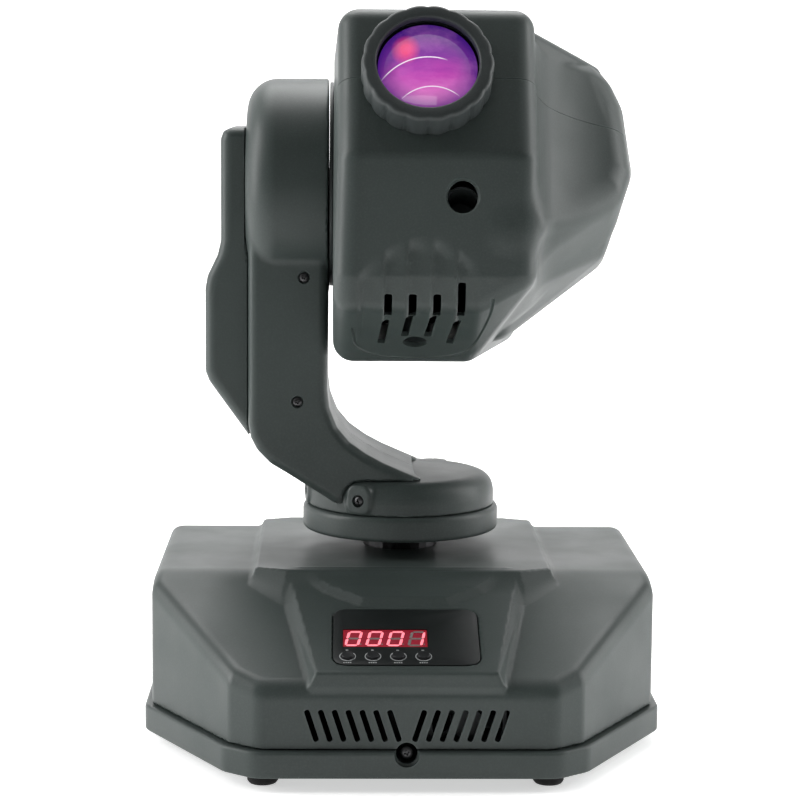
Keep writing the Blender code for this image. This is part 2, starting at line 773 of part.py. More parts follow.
def arm_outline():
    """The arm seen from the front, as anticlockwise (x, z) points."""
    inner = [
        (24.0, 139.0), (24.0, 155.0), (10.0, 161.0), (0.0, 165.2), (-12.0, 170.4), (-23.0, 176.2),
        (-34.0, 184.0), (-42.0, 193.5), (-47.0, 206.0), (ARM_INNER_X, 218.0),
    ]
    upper = [(ARM_INNER_X, TILT_HEIGHT), (ARM_OUTER_X, TILT_HEIGHT)]
    outer = [
        (ARM_OUTER_X, 196.0), (-97.5, 187.0), (-93.5, 179.0), (-84.7, 170.0), (-73.0, 163.0),
        (-62.7, 156.5), (-50.0, 148.6), (-38.0, 140.5), (-30.0, 139.0),
    ]
    return inner + upper + outer


def upright(outline, low, high):
    """Extrude an (x, z) outline along Y from low to high."""
    bm = prism(outline, -high, -low)
    bmesh.ops.transform(bm, matrix=Matrix.Rotation(math.radians(90.0), 4, "X"), verts=bm.verts)
    return bm


def rounded_upright(outline, half, radius):
    steps = [(half, radius), (half - 0.3 * radius, 0.3 * radius), (half - radius, 0.0)]
    bm = bmesh.new()
    loops = []
    ordered = [(-d, inset) for d, inset in steps] + [(d, inset) for d, inset in reversed(steps)]
    for depth, inset in ordered:
        points = shrink(outline, inset) if inset else outline
        loops.append([bm.verts.new((x, depth, z)) for x, z in points])
    for first, second in zip(loops, loops[1:]):
        join_rings(bm, first, second, len(outline))
    bm.faces.new(loops[0])
    bm.faces.new(loops[-1])
    return bm


def puck(inset, inner_x):
    """Round tilt housing about the X axis; heights run outwards along -X."""
    radius = PUCK_RADIUS - inset
    depth = -ARM_OUTER_X + 1.8 - inset
    curve = max(1.0, PUCK_ROUND - inset)
    profile = [(0, -inner_x), (radius, -inner_x)]
    for step in range(5):
        angle = math.radians(90.0 * step / 4)
        profile.append((radius - curve + curve * math.cos(angle), depth - curve + curve * math.sin(angle)))
    profile.append((0, depth))
    turn = Matrix.Rotation(math.radians(-90.0), 4, "Y")
    return move(revolve(profile, 44), (0, 0, TILT_HEIGHT), turn)


MOTOR_COVER_HALF = 38.0


def motor_cover_outline():
    """The tilt motor's cover seen from the front; its right side lies inside the arm and is cut off."""
    return [
        (-84.0, 383.7), (-110.5, 383.7), (-115.2, 381.5), (-117.0, 376.5), (-117.0, 312.0), (-119.0, 303.0),
        (-125.5, 289.5), (-127.0, 281.0), (-127.0, 228.0), (-124.5, 221.5), (-99.2, 186.4), (-84.0, 186.4),
    ]


def build_arm(yoke):
    outer = fuse(rounded_upright(arm_outline(), ARM_HALF, 6.0), puck(0.0, ARM_INNER_X))
    hollow = upright(shrink(arm_outline(), ARM_WALL), -ARM_HALF + ARM_WALL, ARM_HALF - ARM_WALL)
    space = fuse(hollow, puck(ARM_WALL, ARM_INNER_X - ARM_WALL - 0.4))
    tools = [
        space,
        disc(TIER_RADIUS + GAP, 100, TIER_TOP + GAP, 44),
        move(disc(17.0, 40, 60, 28), (0, 0, TILT_HEIGHT), Matrix.Rotation(math.radians(-90.0), 4, "Y")),
        box((-110, -30, 208), (-90, 30, 264)),
    ]
    for x, z in ((-63.5, 290.0), (-67.5, 210.5)):
        tools.append(move(disc(4.6, ARM_HALF - 1.6, ARM_HALF + 9, 16), (x, 0, z), ALONG_Y.inverted()))
        tools.append(move(disc(1.9, ARM_HALF - 5, ARM_HALF + 2, 10), (x, 0, z), ALONG_Y.inverted()))
    arm = cut(outer, *tools)
    whole = scratch(arm)
    for name, low, high in (("arm_front_shell", -90, -GAP / 2), ("arm_rear_shell", GAP / 2, 90)):
        half = bmesh.new()
        half.from_mesh(whole.data)
        half = keep(half, box((-200, low, 100), (60, high, 440)))
        finish_mesh(half, name, "body_grey", yoke, smooth=28)
    bpy.data.objects.remove(whole, do_unlink=True)
    cap = rounded_upright(motor_cover_outline(), MOTOR_COVER_HALF, 6.0)
    reach = MOTOR_COVER_HALF - 3.0
    inside = upright(shrink(motor_cover_outline(), 3.0), -reach, reach)
    arm_side = box((ARM_OUTER_X - GAP, -100, 100), (0, 100, 450))
    cap = cut(cap, inside, arm_side, puck(-GAP, -40))
    finish_mesh(cap, "arm_motor_cover", "body_grey", yoke, smooth=28)


def build_arm_screws(yoke):
    spots = (
        ("arm_screw_upper", (-63.5, -ARM_HALF + 1.3, 290.0)),
        ("arm_screw_lower", (-67.5, -ARM_HALF + 1.3, 210.5)),
    )
    for name, at in spots:
        item = finish_mesh(screw(3.6, 2.2, 0.9), name, "screw_steel", yoke, smooth=40)
        item.rotation_euler = (math.radians(90.0), 0.0, 0.0)
        item.location = Vector(at) * MM


def build_yoke_insides(yoke):
    plate = box((-58, -32, 160.5), (-55, 32, 384))
    foot = box((-58, -32, 160.5), (-14, 32, 163.2))
    hole = move(disc(17.0, 40, 70, 28), (0, 0, TILT_HEIGHT), Matrix.Rotation(math.radians(-90.0), 4, "Y"))
    finish_mesh(cut(fuse(plate, foot), hole), "yoke_frame", "plate_steel", yoke)
    axis_turn = Matrix.Rotation(math.radians(-90.0), 4, "Y")
    bearing = move(tube(15.4, 27, 58.4, 66, 24), (0, 0, TILT_HEIGHT), axis_turn)
    finish_mesh(bearing, "tilt_bearing", "turned_aluminium", yoke, smooth=40)
    half = 21.0
    motor = box((-113.0, -half, TILT_MOTOR_Z - half), (-86.0, half, TILT_MOTOR_Z + half))
    boss = move(disc(11, 84.4, 87, 24), (0, 0, TILT_MOTOR_Z), axis_turn)
    bore = move(disc(3.3, 80, 98, 16), (0, 0, TILT_MOTOR_Z), axis_turn)
    finish_mesh(cut(fuse(motor, boss), bore), "tilt_motor", "plate_steel", yoke)
    small = [
        (0, 66), (MOTOR_PULLEY_RADIUS + 1.8, 66), (MOTOR_PULLEY_RADIUS + 1.8, 67), (MOTOR_PULLEY_RADIUS, 67),
        (MOTOR_PULLEY_RADIUS, 79), (MOTOR_PULLEY_RADIUS + 1.8, 79), (MOTOR_PULLEY_RADIUS + 1.8, 80),
        (3.0, 80), (3.0, 96), (0, 96),
    ]
    holder = empty("tilt_motor_axis", (0, 0, TILT_MOTOR_Z), (0, -90.0, 0), yoke)
    finish_mesh(revolve(small, 16), "tilt_motor_pulley", "turned_aluminium", holder, smooth=40)
    loop = belt(
        (TILT_HEIGHT, 0.0, TILT_PULLEY_RADIUS + 0.4), (TILT_MOTOR_Z, 0.0, MOTOR_PULLEY_RADIUS + 0.4),
        68.5, 77.5,
    )
    turn = Matrix.Rotation(math.radians(-90.0), 4, "Y")
    finish_mesh(move(loop, (0, 0, 0), turn), "tilt_belt", "rubber_black", yoke, smooth=40)


# ---------------------------------------------------------------- head


def local(x, forward, up):
    """Head coordinates written as across, forward along the lens axis, and up."""
    return (x, -forward, up)


def front_block_points():
    """The lens end and the whole length of the head on the arm's side."""
    profile = [
        (FRONT_FACE, HEAD_TOP), (FRONT_FACE, -52.0), (101.5, -114.5), (88.0, -130.0), (10.0, -130.0),
        (-105.0, -63.0), (-137.5, -38.0), (-137.5, 32.0), (-120.0, HEAD_TOP),
        (88.0, HEAD_TOP),
    ]
    points = []
    for forward, up in profile:
        taper = max(0.0, forward - 88.0) / 49.5 * 3.0
        points.append(local(HEAD_LEFT + taper, forward, up))
        points.append(local(HEAD_RIGHT if up > -120.0 else 42.0, forward, up))
    return points


def wedge_points():
    """The slope from the front block's side to the face of the bulge."""
    rows = []
    for x, forward, low in (
        (50.0, 112.0, -98.0), (77.0, 112.0, -88.0), (111.0, 78.5, -60.0),
        (116.0, 60.0, -54.0), (116.0, 40.0, -54.0), (50.0, 40.0, -98.0),
    ):
        rows.append((x, forward, HEAD_TOP))
        rows.append((x, forward, low))
    return [local(*row) for row in rows]


def bulge_points():
    """The wide box on the side away from the arm, with its underside sloping up and out."""
    rows = [
        (38.0, 83.0, HEAD_TOP), (107.0, 83.0, HEAD_TOP), (124.8, 66.0, HEAD_TOP), (133.0, 46.0, HEAD_TOP),
        (127.0, -92.0, HEAD_TOP), (38.0, -118.0, HEAD_TOP),
        (BULGE_RIGHT, 55.0, 27.0), (BULGE_RIGHT, -60.0, 27.0), (136.0, 74.0, 20.0),
        (BULGE_RIGHT, 50.0, -18.0), (BULGE_RIGHT, -50.0, 0.0), (138.0, 75.0, -36.0),
        (127.0, 77.0, -47.0), (126.0, 30.0, -65.0), (126.0, 10.0, -62.0), (60.0, 100.0, -98.0),
        (112.0, -104.0, 30.0), (112.0, -104.0, -10.0), (38.0, -132.0, 30.0), (38.0, -132.0, -34.0),
        (42.0, 88.0, -131.0), (42.0, 10.0, -131.0), (20.0, -105.0, -63.0), (118.0, -40.0, -34.0),
    ]
    return [local(*row) for row in rows]


HEAD_ROUND = 13.0
BULGE_ROUND = 20.0
WEDGE_ROUND = 9.0


def head_solid(inset):
    radius = HEAD_ROUND - inset
    steps = 4 if inset == 0 else 2
    block = rounded_hull(front_block_points(), inset, radius, steps)
    wedge = rounded_hull(wedge_points(), inset, WEDGE_ROUND - inset, 2)
    bulge = rounded_hull(bulge_points(), inset, BULGE_ROUND - inset, steps)
    return fuse(block, wedge, bulge)


def vent_slots():
    """Two rows of slots on the underside behind the front facet, and two rows at the rear."""
    tools = []
    for index in range(4):
        x = -12.5 + 14.6 * index
        inner = index in (1, 2)
        tools.append(slot_tool(x, 88.0, -126.0, 17.0, 25.0))
        tools.append(slot_tool(x - 2.0, 59.0 if inner else 52.0, -130.0, 27.0 if inner else 32.0, 0.0))
    for index in range(6):
        x = LENS_X - 25.0 + 10.0 * index
        for low, high in ((-21.0, -5.0), (5.0, 21.0)):
            tools.append(box((x - 2.0, 125.0, low), (x + 2.0, 150.0, high)))
    return tools


def slot_tool(x, forward, up, length, lean):
    tool = box((-2.4, -length / 2, -11), (2.4, length / 2, 11))
    return move(tool, local(x, forward, up), Matrix.Rotation(math.radians(-lean), 4, "X"))


def build_head_shells(head):
    outer = head_solid(0.0)
    tools = [head_solid(HEAD_WALL)]
    axis_y = Matrix.Rotation(math.radians(90.0), 4, "X")
    tools.append(move(disc(36.6, 60, 190, 40), (LENS_X, 0, 0), axis_y))
    tools.append(move(disc(20.0, 30, 60, 28), (0, 0, 0), Matrix.Rotation(math.radians(-90.0), 4, "Y")))
    tools.append(move(disc(9.0, 100, 160, 20), (31.6, 0, -72.7), axis_y))
    tools.extend(vent_slots())
    whole = scratch(cut(outer, *tools))
    halves = (("head_lower_shell", -200, -GAP / 2), ("head_upper_shell", GAP / 2, 200))
    for name, low, high in halves:
        half = bmesh.new()
        half.from_mesh(whole.data)
        half = keep(half, box((-100, -200, low), (220, 200, high)))
        finish_mesh(half, name, "body_grey", head, smooth=28)
    bpy.data.objects.remove(whole, do_unlink=True)


def build_tilt_axle(head):
    turn = Matrix.Rotation(math.radians(-90.0), 4, "Y")
    flange = [
        (15.3, 45.3), (FLANGE_RADIUS, 45.3), (FLANGE_RADIUS, 47.2), (FLANGE_RADIUS - 1.0, 48.1),
        (15.3, 48.1),
    ]
    finish_mesh(move(revolve(flange, 40), (0, 0, 0), turn), "tilt_flange", "dark_plastic", head, smooth=30)
    shaft = [(10.0, 37.0), (22.0, 37.0), (22.0, 40.4), (15.0, 40.4), (15.0, 83.0), (10.0, 83.0)]
    finish_mesh(move(revolve(shaft, 24), (0, 0, 0), turn), "tilt_shaft", "turned_aluminium", head, smooth=40)
    pulley = [
        (15.3, 67.0), (TILT_PULLEY_RADIUS, 67.0), (TILT_PULLEY_RADIUS, 79.0),
        (TILT_PULLEY_RADIUS + 2.2, 79.0), (TILT_PULLEY_RADIUS + 2.2, 80.2), (15.3, 80.2),
    ]
    pulley = move(revolve(pulley, 28), (0, 0, 0), turn)
    finish_mesh(pulley, "tilt_pulley", "turned_aluminium", head, smooth=40)


def beam_holder(name, forward, head):
    """An empty on the lens axis whose Z points forward out of the lens."""
    return empty(name, local(LENS_X, forward, 0.0), (90.0, 0.0, 0.0), head)


def build_optics(head):
    beam = beam_holder("beam_axis", 0.0, head)
    barrel = tube(33.2, 36.0, 72.0, FRONT_FACE + 7.0, 36)
    finish_mesh(barrel, "lens_barrel", "dark_plastic", beam, smooth=40)
    build_focus_ring(beam)
    cell = [
        (27.5, 117.0), (32.7, 117.0), (32.7, 137.0), (29.9, 137.0), (29.9, 146.6), (27.5, 146.6),
    ]
    finish_mesh(revolve(cell, 32), "front_lens_cell", "dark_plastic", beam, smooth=40)
    lens = [(0, 146.9), (29.6, 146.9), (29.6, 149.0)]
    for step in range(1, 6):
        share = 1 - step / 6
        lens.append((29.6 * share, 149.0 + 6.0 * (1 - share ** 2)))
    lens.append((0, 155.0))
    finish_mesh(revolve(lens, 36), "front_lens", "lens_glass", beam, smooth=50)
    small = [(0, -2.0), (14, 0.0), (25, 5.0), (25, 7.0), (14, 9.6), (0, 10.4)]
    item = finish_mesh(revolve(small, 20), "condenser_lens", "clear_glass", beam, smooth=60)
    item.location = (0.0, 0.0, -38.0 * MM)


def build_focus_ring(beam):
    low = FRONT_FACE + GAP
    high = FRONT_FACE + RING_LENGTH
    outline = []
    inner = []
    count = 72
    for step in range(count):
        angle = 2 * math.pi * step / count
        dip = (0.0, 0.8, 1.1, 0.8)[step % 4]
        outline.append(((RING_OUTER - dip) * math.cos(angle), (RING_OUTER - dip) * math.sin(angle)))
        inner.append((RING_OPENING * math.cos(angle), RING_OPENING * math.sin(angle)))
    bm = bmesh.new()
    loops = []
    wide = [(x * 36.3 / RING_OPENING, y * 36.3 / RING_OPENING) for x, y in inner]
    middle_ring = shrink(outline, 0.9)
    front = shrink(outline, 2.9)
    for points, height in (
        (outline, low), (outline, high - 3.0), (middle_ring, high - 0.9), (front, high), (inner, high),
        (inner, high - 4.0), (wide, FRONT_FACE + 7.0 + GAP), (wide, low),
    ):
        loops.append([bm.verts.new((x, y, height)) for x, y in points])
    for index in range(len(loops)):
        join_rings(bm, loops[index], loops[(index + 1) % len(loops)], count)
    finish_mesh(bm, "focus_ring", "dark_plastic", beam, smooth=25)


def wheel(hole_radius):
    loops = [circle(WHEEL_RADIUS, 32), circle(3.4, 12)]
    for index in range(8):
        angle = math.radians(90.0 + 45.0 * index)
        middle = (WHEEL_HOLE_RING * math.cos(angle), WHEEL_HOLE_RING * math.sin(angle))
        loops.append(circle(hole_radius, 12, middle))
    return plate_with_holes(loops, 0.0, 1.6)


def circle(radius, steps, middle=(0.0, 0.0)):
    return [
        (
            middle[0] + radius * math.cos(2 * math.pi * step / steps),
            middle[1] + radius * math.sin(2 * math.pi * step / steps),
        )
        for step in range(steps)
    ]


def plate_with_holes(loops, low, high):
    """Flat plate whose first loop is its rim and whose other loops are holes."""
    bm = bmesh.new()
    walls = []
    for height in (low, high):
        level = []
        edges = []
        for loop in loops:
            verts = [bm.verts.new((x, y, height)) for x, y in loop]
            level.append(verts)
            edges.extend(bm.edges.new((verts[i - 1], verts[i])) for i in range(len(verts)))
        bmesh.ops.triangle_fill(bm, use_beauty=True, use_dissolve=False, edges=edges)
        walls.append(level)
    for bottom, top in zip(*walls):
        join_rings(bm, bottom, top, len(bottom))
    return bm


def build_wheels(head):
    for name, forward, hole, direction in (("colour", 8.0, 10.0, -1), ("gobo", 20.0, 8.5, 1)):
        holder = empty(
            name + "_wheel_axis", local(LENS_X, forward, -WHEEL_HOLE_RING), (90.0, 0.0, 0.0), head
        )
        finish_mesh(wheel(hole), name + "_wheel", "turned_aluminium", holder, smooth=40)
        near = -1.5 if direction < 0 else 3.1
        far = near + direction * 24.0
        low, high = sorted((near, far))
        body = box((-16, -16, low), (16, 16, high))
        axle_low, axle_high = (near - 1, 2.4) if direction < 0 else (-0.8, near + 1)
        body = fuse(body, disc(3.0, axle_low, axle_high, 16))
        finish_mesh(body, name + "_motor", "plate_steel", holder)


def build_lamp(head):
    beam = beam_holder("lamp_axis", -88.0, head)
    glass = [(0, -6), (6.5, -6), (6.5, 14), (4.8, 18.5), (0, 20.5)]
    finish_mesh(revolve(glass, 24), "lamp", "clear_glass", beam, smooth=50)
    socket = tube(6.9, 12.0, -22, -6.5, 24)
    socket = fuse(socket, disc(12.0, -24, -20, 24))
    finish_mesh(socket, "lamp_socket", "ceramic_white", beam, smooth=40)
    bowl = []
    for step in range(5):
        radius = 9.0 + (31.0 - 9.0) * step / 4
        bowl.append((radius, -5.0 + radius ** 2 / 34.0))
    outer = [(radius + 1.4, height - 0.6) for radius, height in reversed(bowl)]
    finish_mesh(revolve(bowl + outer, 24), "reflector", "reflector_bright", beam, smooth=50)


PLATE_LOW = -54.0
PLATE_HIGH = -52.0


def build_chassis(head):
    plate = box((-38, -100, PLATE_LOW), (66, 100, PLATE_HIGH))
    stands = [
        box((-22, -90, PLATE_HIGH - 1), (43, -88, -36.6)),
        box((0, 96.6, PLATE_HIGH - 1), (21, 98.6, -12.6)),
        box((2, 31.4, PLATE_HIGH - 1), (19, 32.6, -25.6)),
    ]
    opening = box((-34, -28, -70), (55, -2, -40))
    finish_mesh(cut(fuse(plate, *stands), opening), "head_chassis", "plate_steel", head)
    holder = empty("head_fan_axis", local(LENS_X, -116.0, -3.0), (-90.0, 0.0, 0.0), head)
    finish_mesh(fan_frame(FAN_SIZE, FAN_DEEP), "head_fan_frame", "dark_plastic", holder)
    finish_mesh(fan_rotor(FAN_SIZE, FAN_DEEP), "head_fan_rotor", "dark_plastic", holder)


def main():
    clear_scene()
    make_materials()
    build_tray()
    build_cover()
    build_feet()
    build_display()
    build_base_screws()
    build_rear_sockets()
    build_base_insides()
    build_base_fan()
    build_pan_drive()
    yoke = empty("yoke_axis", (0.0, 0.0, 0.0))
    build_turntable(yoke)
    build_arm(yoke)
    build_arm_screws(yoke)
    build_yoke_insides(yoke)
    head = empty("head_axis", (0.0, 0.0, TILT_HEIGHT), (-HEAD_RAISE, 0.0, 0.0), yoke)
    build_head_shells(head)
    build_tilt_axle(head)
    build_optics(head)
    build_wheels(head)
    build_lamp(head)
    build_chassis(head)


main()
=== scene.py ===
"""The looks of the moving head light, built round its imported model.

Shapes are worked out in millimetres as distance fields, meshed, and placed in metres.
The front faces -Y and up is +Z. The head has its own frame: x across, y backwards from the lens, z up.
"""

import json
import math

import bmesh
import bpy
import numpy as np
from mathutils import Matrix, Vector


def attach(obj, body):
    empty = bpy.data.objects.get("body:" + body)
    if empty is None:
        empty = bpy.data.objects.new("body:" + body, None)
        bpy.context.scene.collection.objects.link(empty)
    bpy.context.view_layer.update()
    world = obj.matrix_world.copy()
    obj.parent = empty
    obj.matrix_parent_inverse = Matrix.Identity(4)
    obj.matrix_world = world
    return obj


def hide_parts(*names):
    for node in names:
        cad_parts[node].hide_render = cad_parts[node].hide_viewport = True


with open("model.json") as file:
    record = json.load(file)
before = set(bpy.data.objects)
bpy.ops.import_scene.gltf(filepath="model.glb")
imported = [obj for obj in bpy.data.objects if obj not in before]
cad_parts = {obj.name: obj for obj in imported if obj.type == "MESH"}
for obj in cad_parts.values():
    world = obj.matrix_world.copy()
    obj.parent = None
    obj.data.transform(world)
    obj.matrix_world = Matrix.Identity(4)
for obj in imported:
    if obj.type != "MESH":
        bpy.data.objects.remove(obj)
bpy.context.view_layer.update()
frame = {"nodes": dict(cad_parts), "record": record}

MM = 0.001
GAP = 0.3
TILT_HEIGHT = 347.0
HEAD_RAISE = 30.0
LENS_X = 10.6

HEAD_TURN = Matrix.Rotation(math.radians(-HEAD_RAISE), 4, "X")
HEAD_PLACE = Matrix.Translation((0.0, 0.0, TILT_HEIGHT)) @ HEAD_TURN
ALONG_X = Matrix.Rotation(math.radians(-90.0), 4, "Y")
ALONG_Y = Matrix.Rotation(math.radians(-90.0), 4, "X")
BEAM_PLACE = HEAD_PLACE @ Matrix.Translation((LENS_X, 0.0, 0.0)) @ Matrix.Rotation(math.radians(90.0), 4, "X")

# ---------------------------------------------------------------- distance fields


def smax(a, b, k):
    blend = np.maximum(k - np.abs(a - b), 0.0) / k
    return np.maximum(a, b) + blend * blend * k * 0.25


def smin(a, b, k):
    return -smax(-a, -b, k)


def square_edge(a, b, radius):
    """Two faces at a right angle, joined by an edge of the given radius."""
    u = a + radius
    v = b + radius
    outside = np.hypot(np.maximum(u, 0.0), np.maximum(v, 0.0))
    return outside + np.minimum(np.maximum(u, v), 0.0) - radius


def shrink(outline, distance):
    """Move every side of an anticlockwise outline inwards by the distance."""
    points = [np.array(p, float) for p in outline]
    moved = []
    for index, point in enumerate(points):
        before = point - points[index - 1]
        after = points[(index + 1) % len(points)] - point
        first = np.array((-before[1], before[0])) / np.linalg.norm(before)
        second = np.array((-after[1], after[0])) / np.linalg.norm(after)
        both = first + second
        both = both / (both @ both) * 2
        moved.append(tuple(point + both * distance))
    return moved


def polygon(outline, radius=0.0):
    """Distance to a closed outline whose outward corners have the radius."""
    points = np.array(shrink(outline, radius) if radius else outline, float)

    def field(u, v):
        near = np.full(u.shape, 1e12)
        sign = np.ones(u.shape)
        for index in range(len(points)):
            ax, ay = points[index]
            bx, by = points[index - 1]
            ex, ey = bx - ax, by - ay
            wx, wy = u - ax, v - ay
            share = np.clip((wx * ex + wy * ey) / (ex * ex + ey * ey), 0.0, 1.0)
            near = np.minimum(near, (wx - ex * share) ** 2 + (wy - ey * share) ** 2)
            above = v >= ay
            below = v < by
            left = ex * wy > ey * wx
            flip = (above & below & left) | (~above & ~below & ~left)
            sign = np.where(flip, -sign, sign)
        return sign * np.sqrt(near) - radius

    return field


def hull(points):
    bm = bmesh.new()
    verts = [bm.verts.new(point) for point in points]
    order = {vert: index for index, vert in enumerate(verts)}
    bmesh.ops.convex_hull(bm, input=verts)
    return bm, order


def planes_of(points):
    bm, _ = hull(points)
    bmesh.ops.recalc_face_normals(bm, faces=bm.faces)
    found = []
    for face in bm.faces:
        if face.calc_area() < 1e-6:
            continue
        normal = np.array(face.normal)
        offset = float(normal @ np.array(face.verts[0].co))
        if all(normal @ n < 0.99999 or abs(offset - d) > 0.01 for n, d in found):
            found.append((normal, offset))
    bm.free()
    return found


FAR = 12.0


def convex(points, radius):
    """Distance to the convex hull of the points with every edge rounded, exact up to FAR outside it."""
    planes = planes_of(points)
    centre = np.mean(np.array(points, float), axis=0)
    normals = np.array([n for n, d in planes])
    offsets = np.array([d for n, d in planes]) - radius
    dual, order = hull([tuple(n / (d - n @ centre)) for n, d in zip(normals, offsets)])
    corners = []
    edges = {}
    for face in dual.faces:
        trio = [order[v] for v in face.verts]
        matrix = normals[trio]
        if abs(np.linalg.det(matrix)) < 1e-4:
            continue
        corner = np.linalg.solve(matrix, offsets[trio])
        corners.append((corner, np.linalg.inv(matrix)))
        for i, j in ((0, 1), (1, 2), (0, 2)):
            pair = tuple(sorted((trio[i], trio[j])))
            edges[pair] = float(normals[pair[0]] @ normals[pair[1]])
    dual.free()
    sharpest = min(0.0, min(edges.values()))
    reach = radius + FAR

    def exact(p):
        heights = p @ normals.T - offsets
        best = heights.max(axis=1)
        second = np.partition(heights, -2, axis=1)[:, -2]
        out = (best > 0) & (best < reach) & (second > reach * sharpest - 0.01)
        q = p[out]
        a = heights[out]
        top = best[out]
        for (i, j), c in edges.items():
            ai, aj = a[:, i], a[:, j]
            on = (ai - aj * c > 0) & (aj - ai * c > 0)
            far = np.sqrt(np.maximum(ai * ai + aj * aj - 2 * ai * aj * c, 0.0) / (1 - c * c + 1e-12))
            top = np.where(on & (far > top), far, top)
        for corner, inverse in corners:
            w = q - corner
            on = ((w @ inverse) > 0).all(axis=1)
            top = np.where(on, np.maximum(top, np.linalg.norm(w, axis=1)), top)
        best[out] = top
        return best - radius

    def field(x, y, z):
        p = np.stack([x, y, z], axis=1)
        return np.concatenate([exact(part) for part in np.array_split(p, len(p) // 150000 + 1)])

    return field


def sample(field, low, high, step):
    """Field values on a grid; far from the surface only their sign is right."""
    block = 6
    low = np.array(low, float)
    blocks = np.ceil((np.array(high) - low) / (step * block)).astype(int)
    spots = np.indices(blocks).reshape(3, -1).T
    middles = low + (spots + 0.5) * block * step
    rough = field(*middles.T)
    near = (np.abs(rough) < block * step * 1.05).reshape(blocks)
    values = np.where(rough < 0, -99.0, 99.0).reshape(blocks)
    for axis in range(3):
        values = np.repeat(values, block, axis=axis)
        near = np.repeat(near, block, axis=axis)
    places = np.argwhere(near)
    points = low + places * step
    values[near] = field(*points.T)
    return values


def surface(field, low, high, step):
    """Vertices and quads of the zero surface, one vertex to a grid cell."""
    values = sample(field, low, high, step)
    inside = values < 0
    count = np.zeros(np.array(values.shape) - 1, np.int8)
    corners = [(i, j, k) for i in (0, 1) for j in (0, 1) for k in (0, 1)]
    nx, ny, nz = count.shape
    for i, j, k in corners:
        count += inside[i:nx + i, j:ny + j, k:nz + k]
    cells = np.argwhere((count > 0) & (count < 8))
    index = np.full(count.shape, -1)
    index[tuple(cells.T)] = np.arange(len(cells))
    total = np.zeros((len(cells), 3))
    hits = np.zeros(len(cells))
    at = {c: values[cells[:, 0] + c[0], cells[:, 1] + c[1], cells[:, 2] + c[2]] for c in corners}
    for a in corners:
        for axis in range(3):
            if a[axis]:
                continue
            b = tuple(1 if n == axis else a[n] for n in range(3))
            cross = (at[a] < 0) != (at[b] < 0)
            share = np.where(cross, at[a] / np.where(cross, at[a] - at[b], 1.0), 0.0)
            spot = np.array(a, float)[None, :] + np.eye(3)[axis][None, :] * share[:, None]
            total += spot * cross[:, None]
            hits += cross
    verts = np.array(low) + (cells + total / hits[:, None]) * step
    quads = []
    for axis in range(3):
        u, v = (axis + 1) % 3, (axis + 2) % 3
        shape = list(inside.shape)
        first = [slice(None)] * 3
        second = [slice(None)] * 3
        first[axis] = slice(0, shape[axis] - 1)
        second[axis] = slice(1, shape[axis])
        change = inside[tuple(first)] != inside[tuple(second)]
        spots = np.argwhere(change)
        interior = (spots[:, u] > 0) & (spots[:, v] > 0)
        interior &= (spots[:, u] < index.shape[u]) & (spots[:, v] < index.shape[v])
        spots = spots[interior]
        ring = []
        for du, dv in ((1, 1), (0, 1), (0, 0), (1, 0)):
            cell = spots.copy()
            cell[:, u] -= du
            cell[:, v] -= dv
            ring.append(index[tuple(cell.T)])
        quad = np.stack(ring, axis=1)
        solid = inside[tuple(spots.T)]
        quad[~solid] = quad[~solid][:, ::-1]
        quads.append(quad)
    return verts, np.concatenate(quads)


def slope_of(field, p, reach=0.05):
    """Unit direction in which the field grows fastest."""
    made = np.zeros_like(p)
    for sign in ((1, -1, -1), (-1, -1, 1), (-1, 1, -1), (1, 1, 1)):
        k = np.array(sign, float)
        made += k * field(*(p + k * reach).T)[:, None]
    return made / np.maximum(np.linalg.norm(made, axis=1), 1e-9)[:, None]


def settle(field, p, rounds=2):
    for _ in range(rounds):
        p = p - slope_of(field, p) * np.clip(field(*p.T), -0.8, 0.8)[:, None]
    return p


def raw_mesh(verts, faces):
    mesh = bpy.data.meshes.new("raw")
    size = faces.shape[1]
    mesh.vertices.add(len(verts))
    mesh.vertices.foreach_set("co", np.asarray(verts, np.float32).ravel())
    mesh.loops.add(faces.size)
    mesh.loops.foreach_set("vertex_index", faces.astype(np.int32).ravel())
    mesh.polygons.add(len(faces))
    mesh.polygons.foreach_set("loop_start", np.arange(0, faces.size, size, dtype=np.int32))
    mesh.update(calc_edges=True)
    return mesh


def temporary(mesh):
    item = bpy.data.objects.new("temporary", mesh)
    bpy.context.scene.collection.objects.link(item)
    return item


def applied(item):
    graph = bpy.context.evaluated_depsgraph_get()
    mesh = bpy.data.meshes.new_from_object(item.evaluated_get(graph))
    bpy.data.objects.remove(item, do_unlink=True)
    return mesh


def open_edges(mesh):
    counts = np.zeros(len(mesh.edges), np.int32)
    owner = np.empty(len(mesh.loops), np.int32)
    mesh.loops.foreach_get("edge_index", owner)
    np.add.at(counts, owner, 1)
    return int((counts != 2).sum())


def skin(field, low, high, step, ratio):
    """Closed mesh of a field's surface, thinned to the ratio where it is nearly flat."""
    for attempt in range(4):
        start = np.array(low, float) + attempt * 0.23 * step
        verts, quads = surface(field, start, high, step)
        item = temporary(raw_mesh(settle(field, verts), quads))
        thin = item.modifiers.new("thin", "DECIMATE")
        thin.ratio = ratio
        mesh = applied(item)
        if open_edges(mesh) == 0:
            break
    points = np.empty(len(mesh.vertices) * 3, np.float32)
    mesh.vertices.foreach_get("co", points)
    points = settle(field, points.reshape(-1, 3).astype(float), 1)
    mesh.vertices.foreach_set("co", points.astype(np.float32).ravel())
    mesh.update()
    return mesh


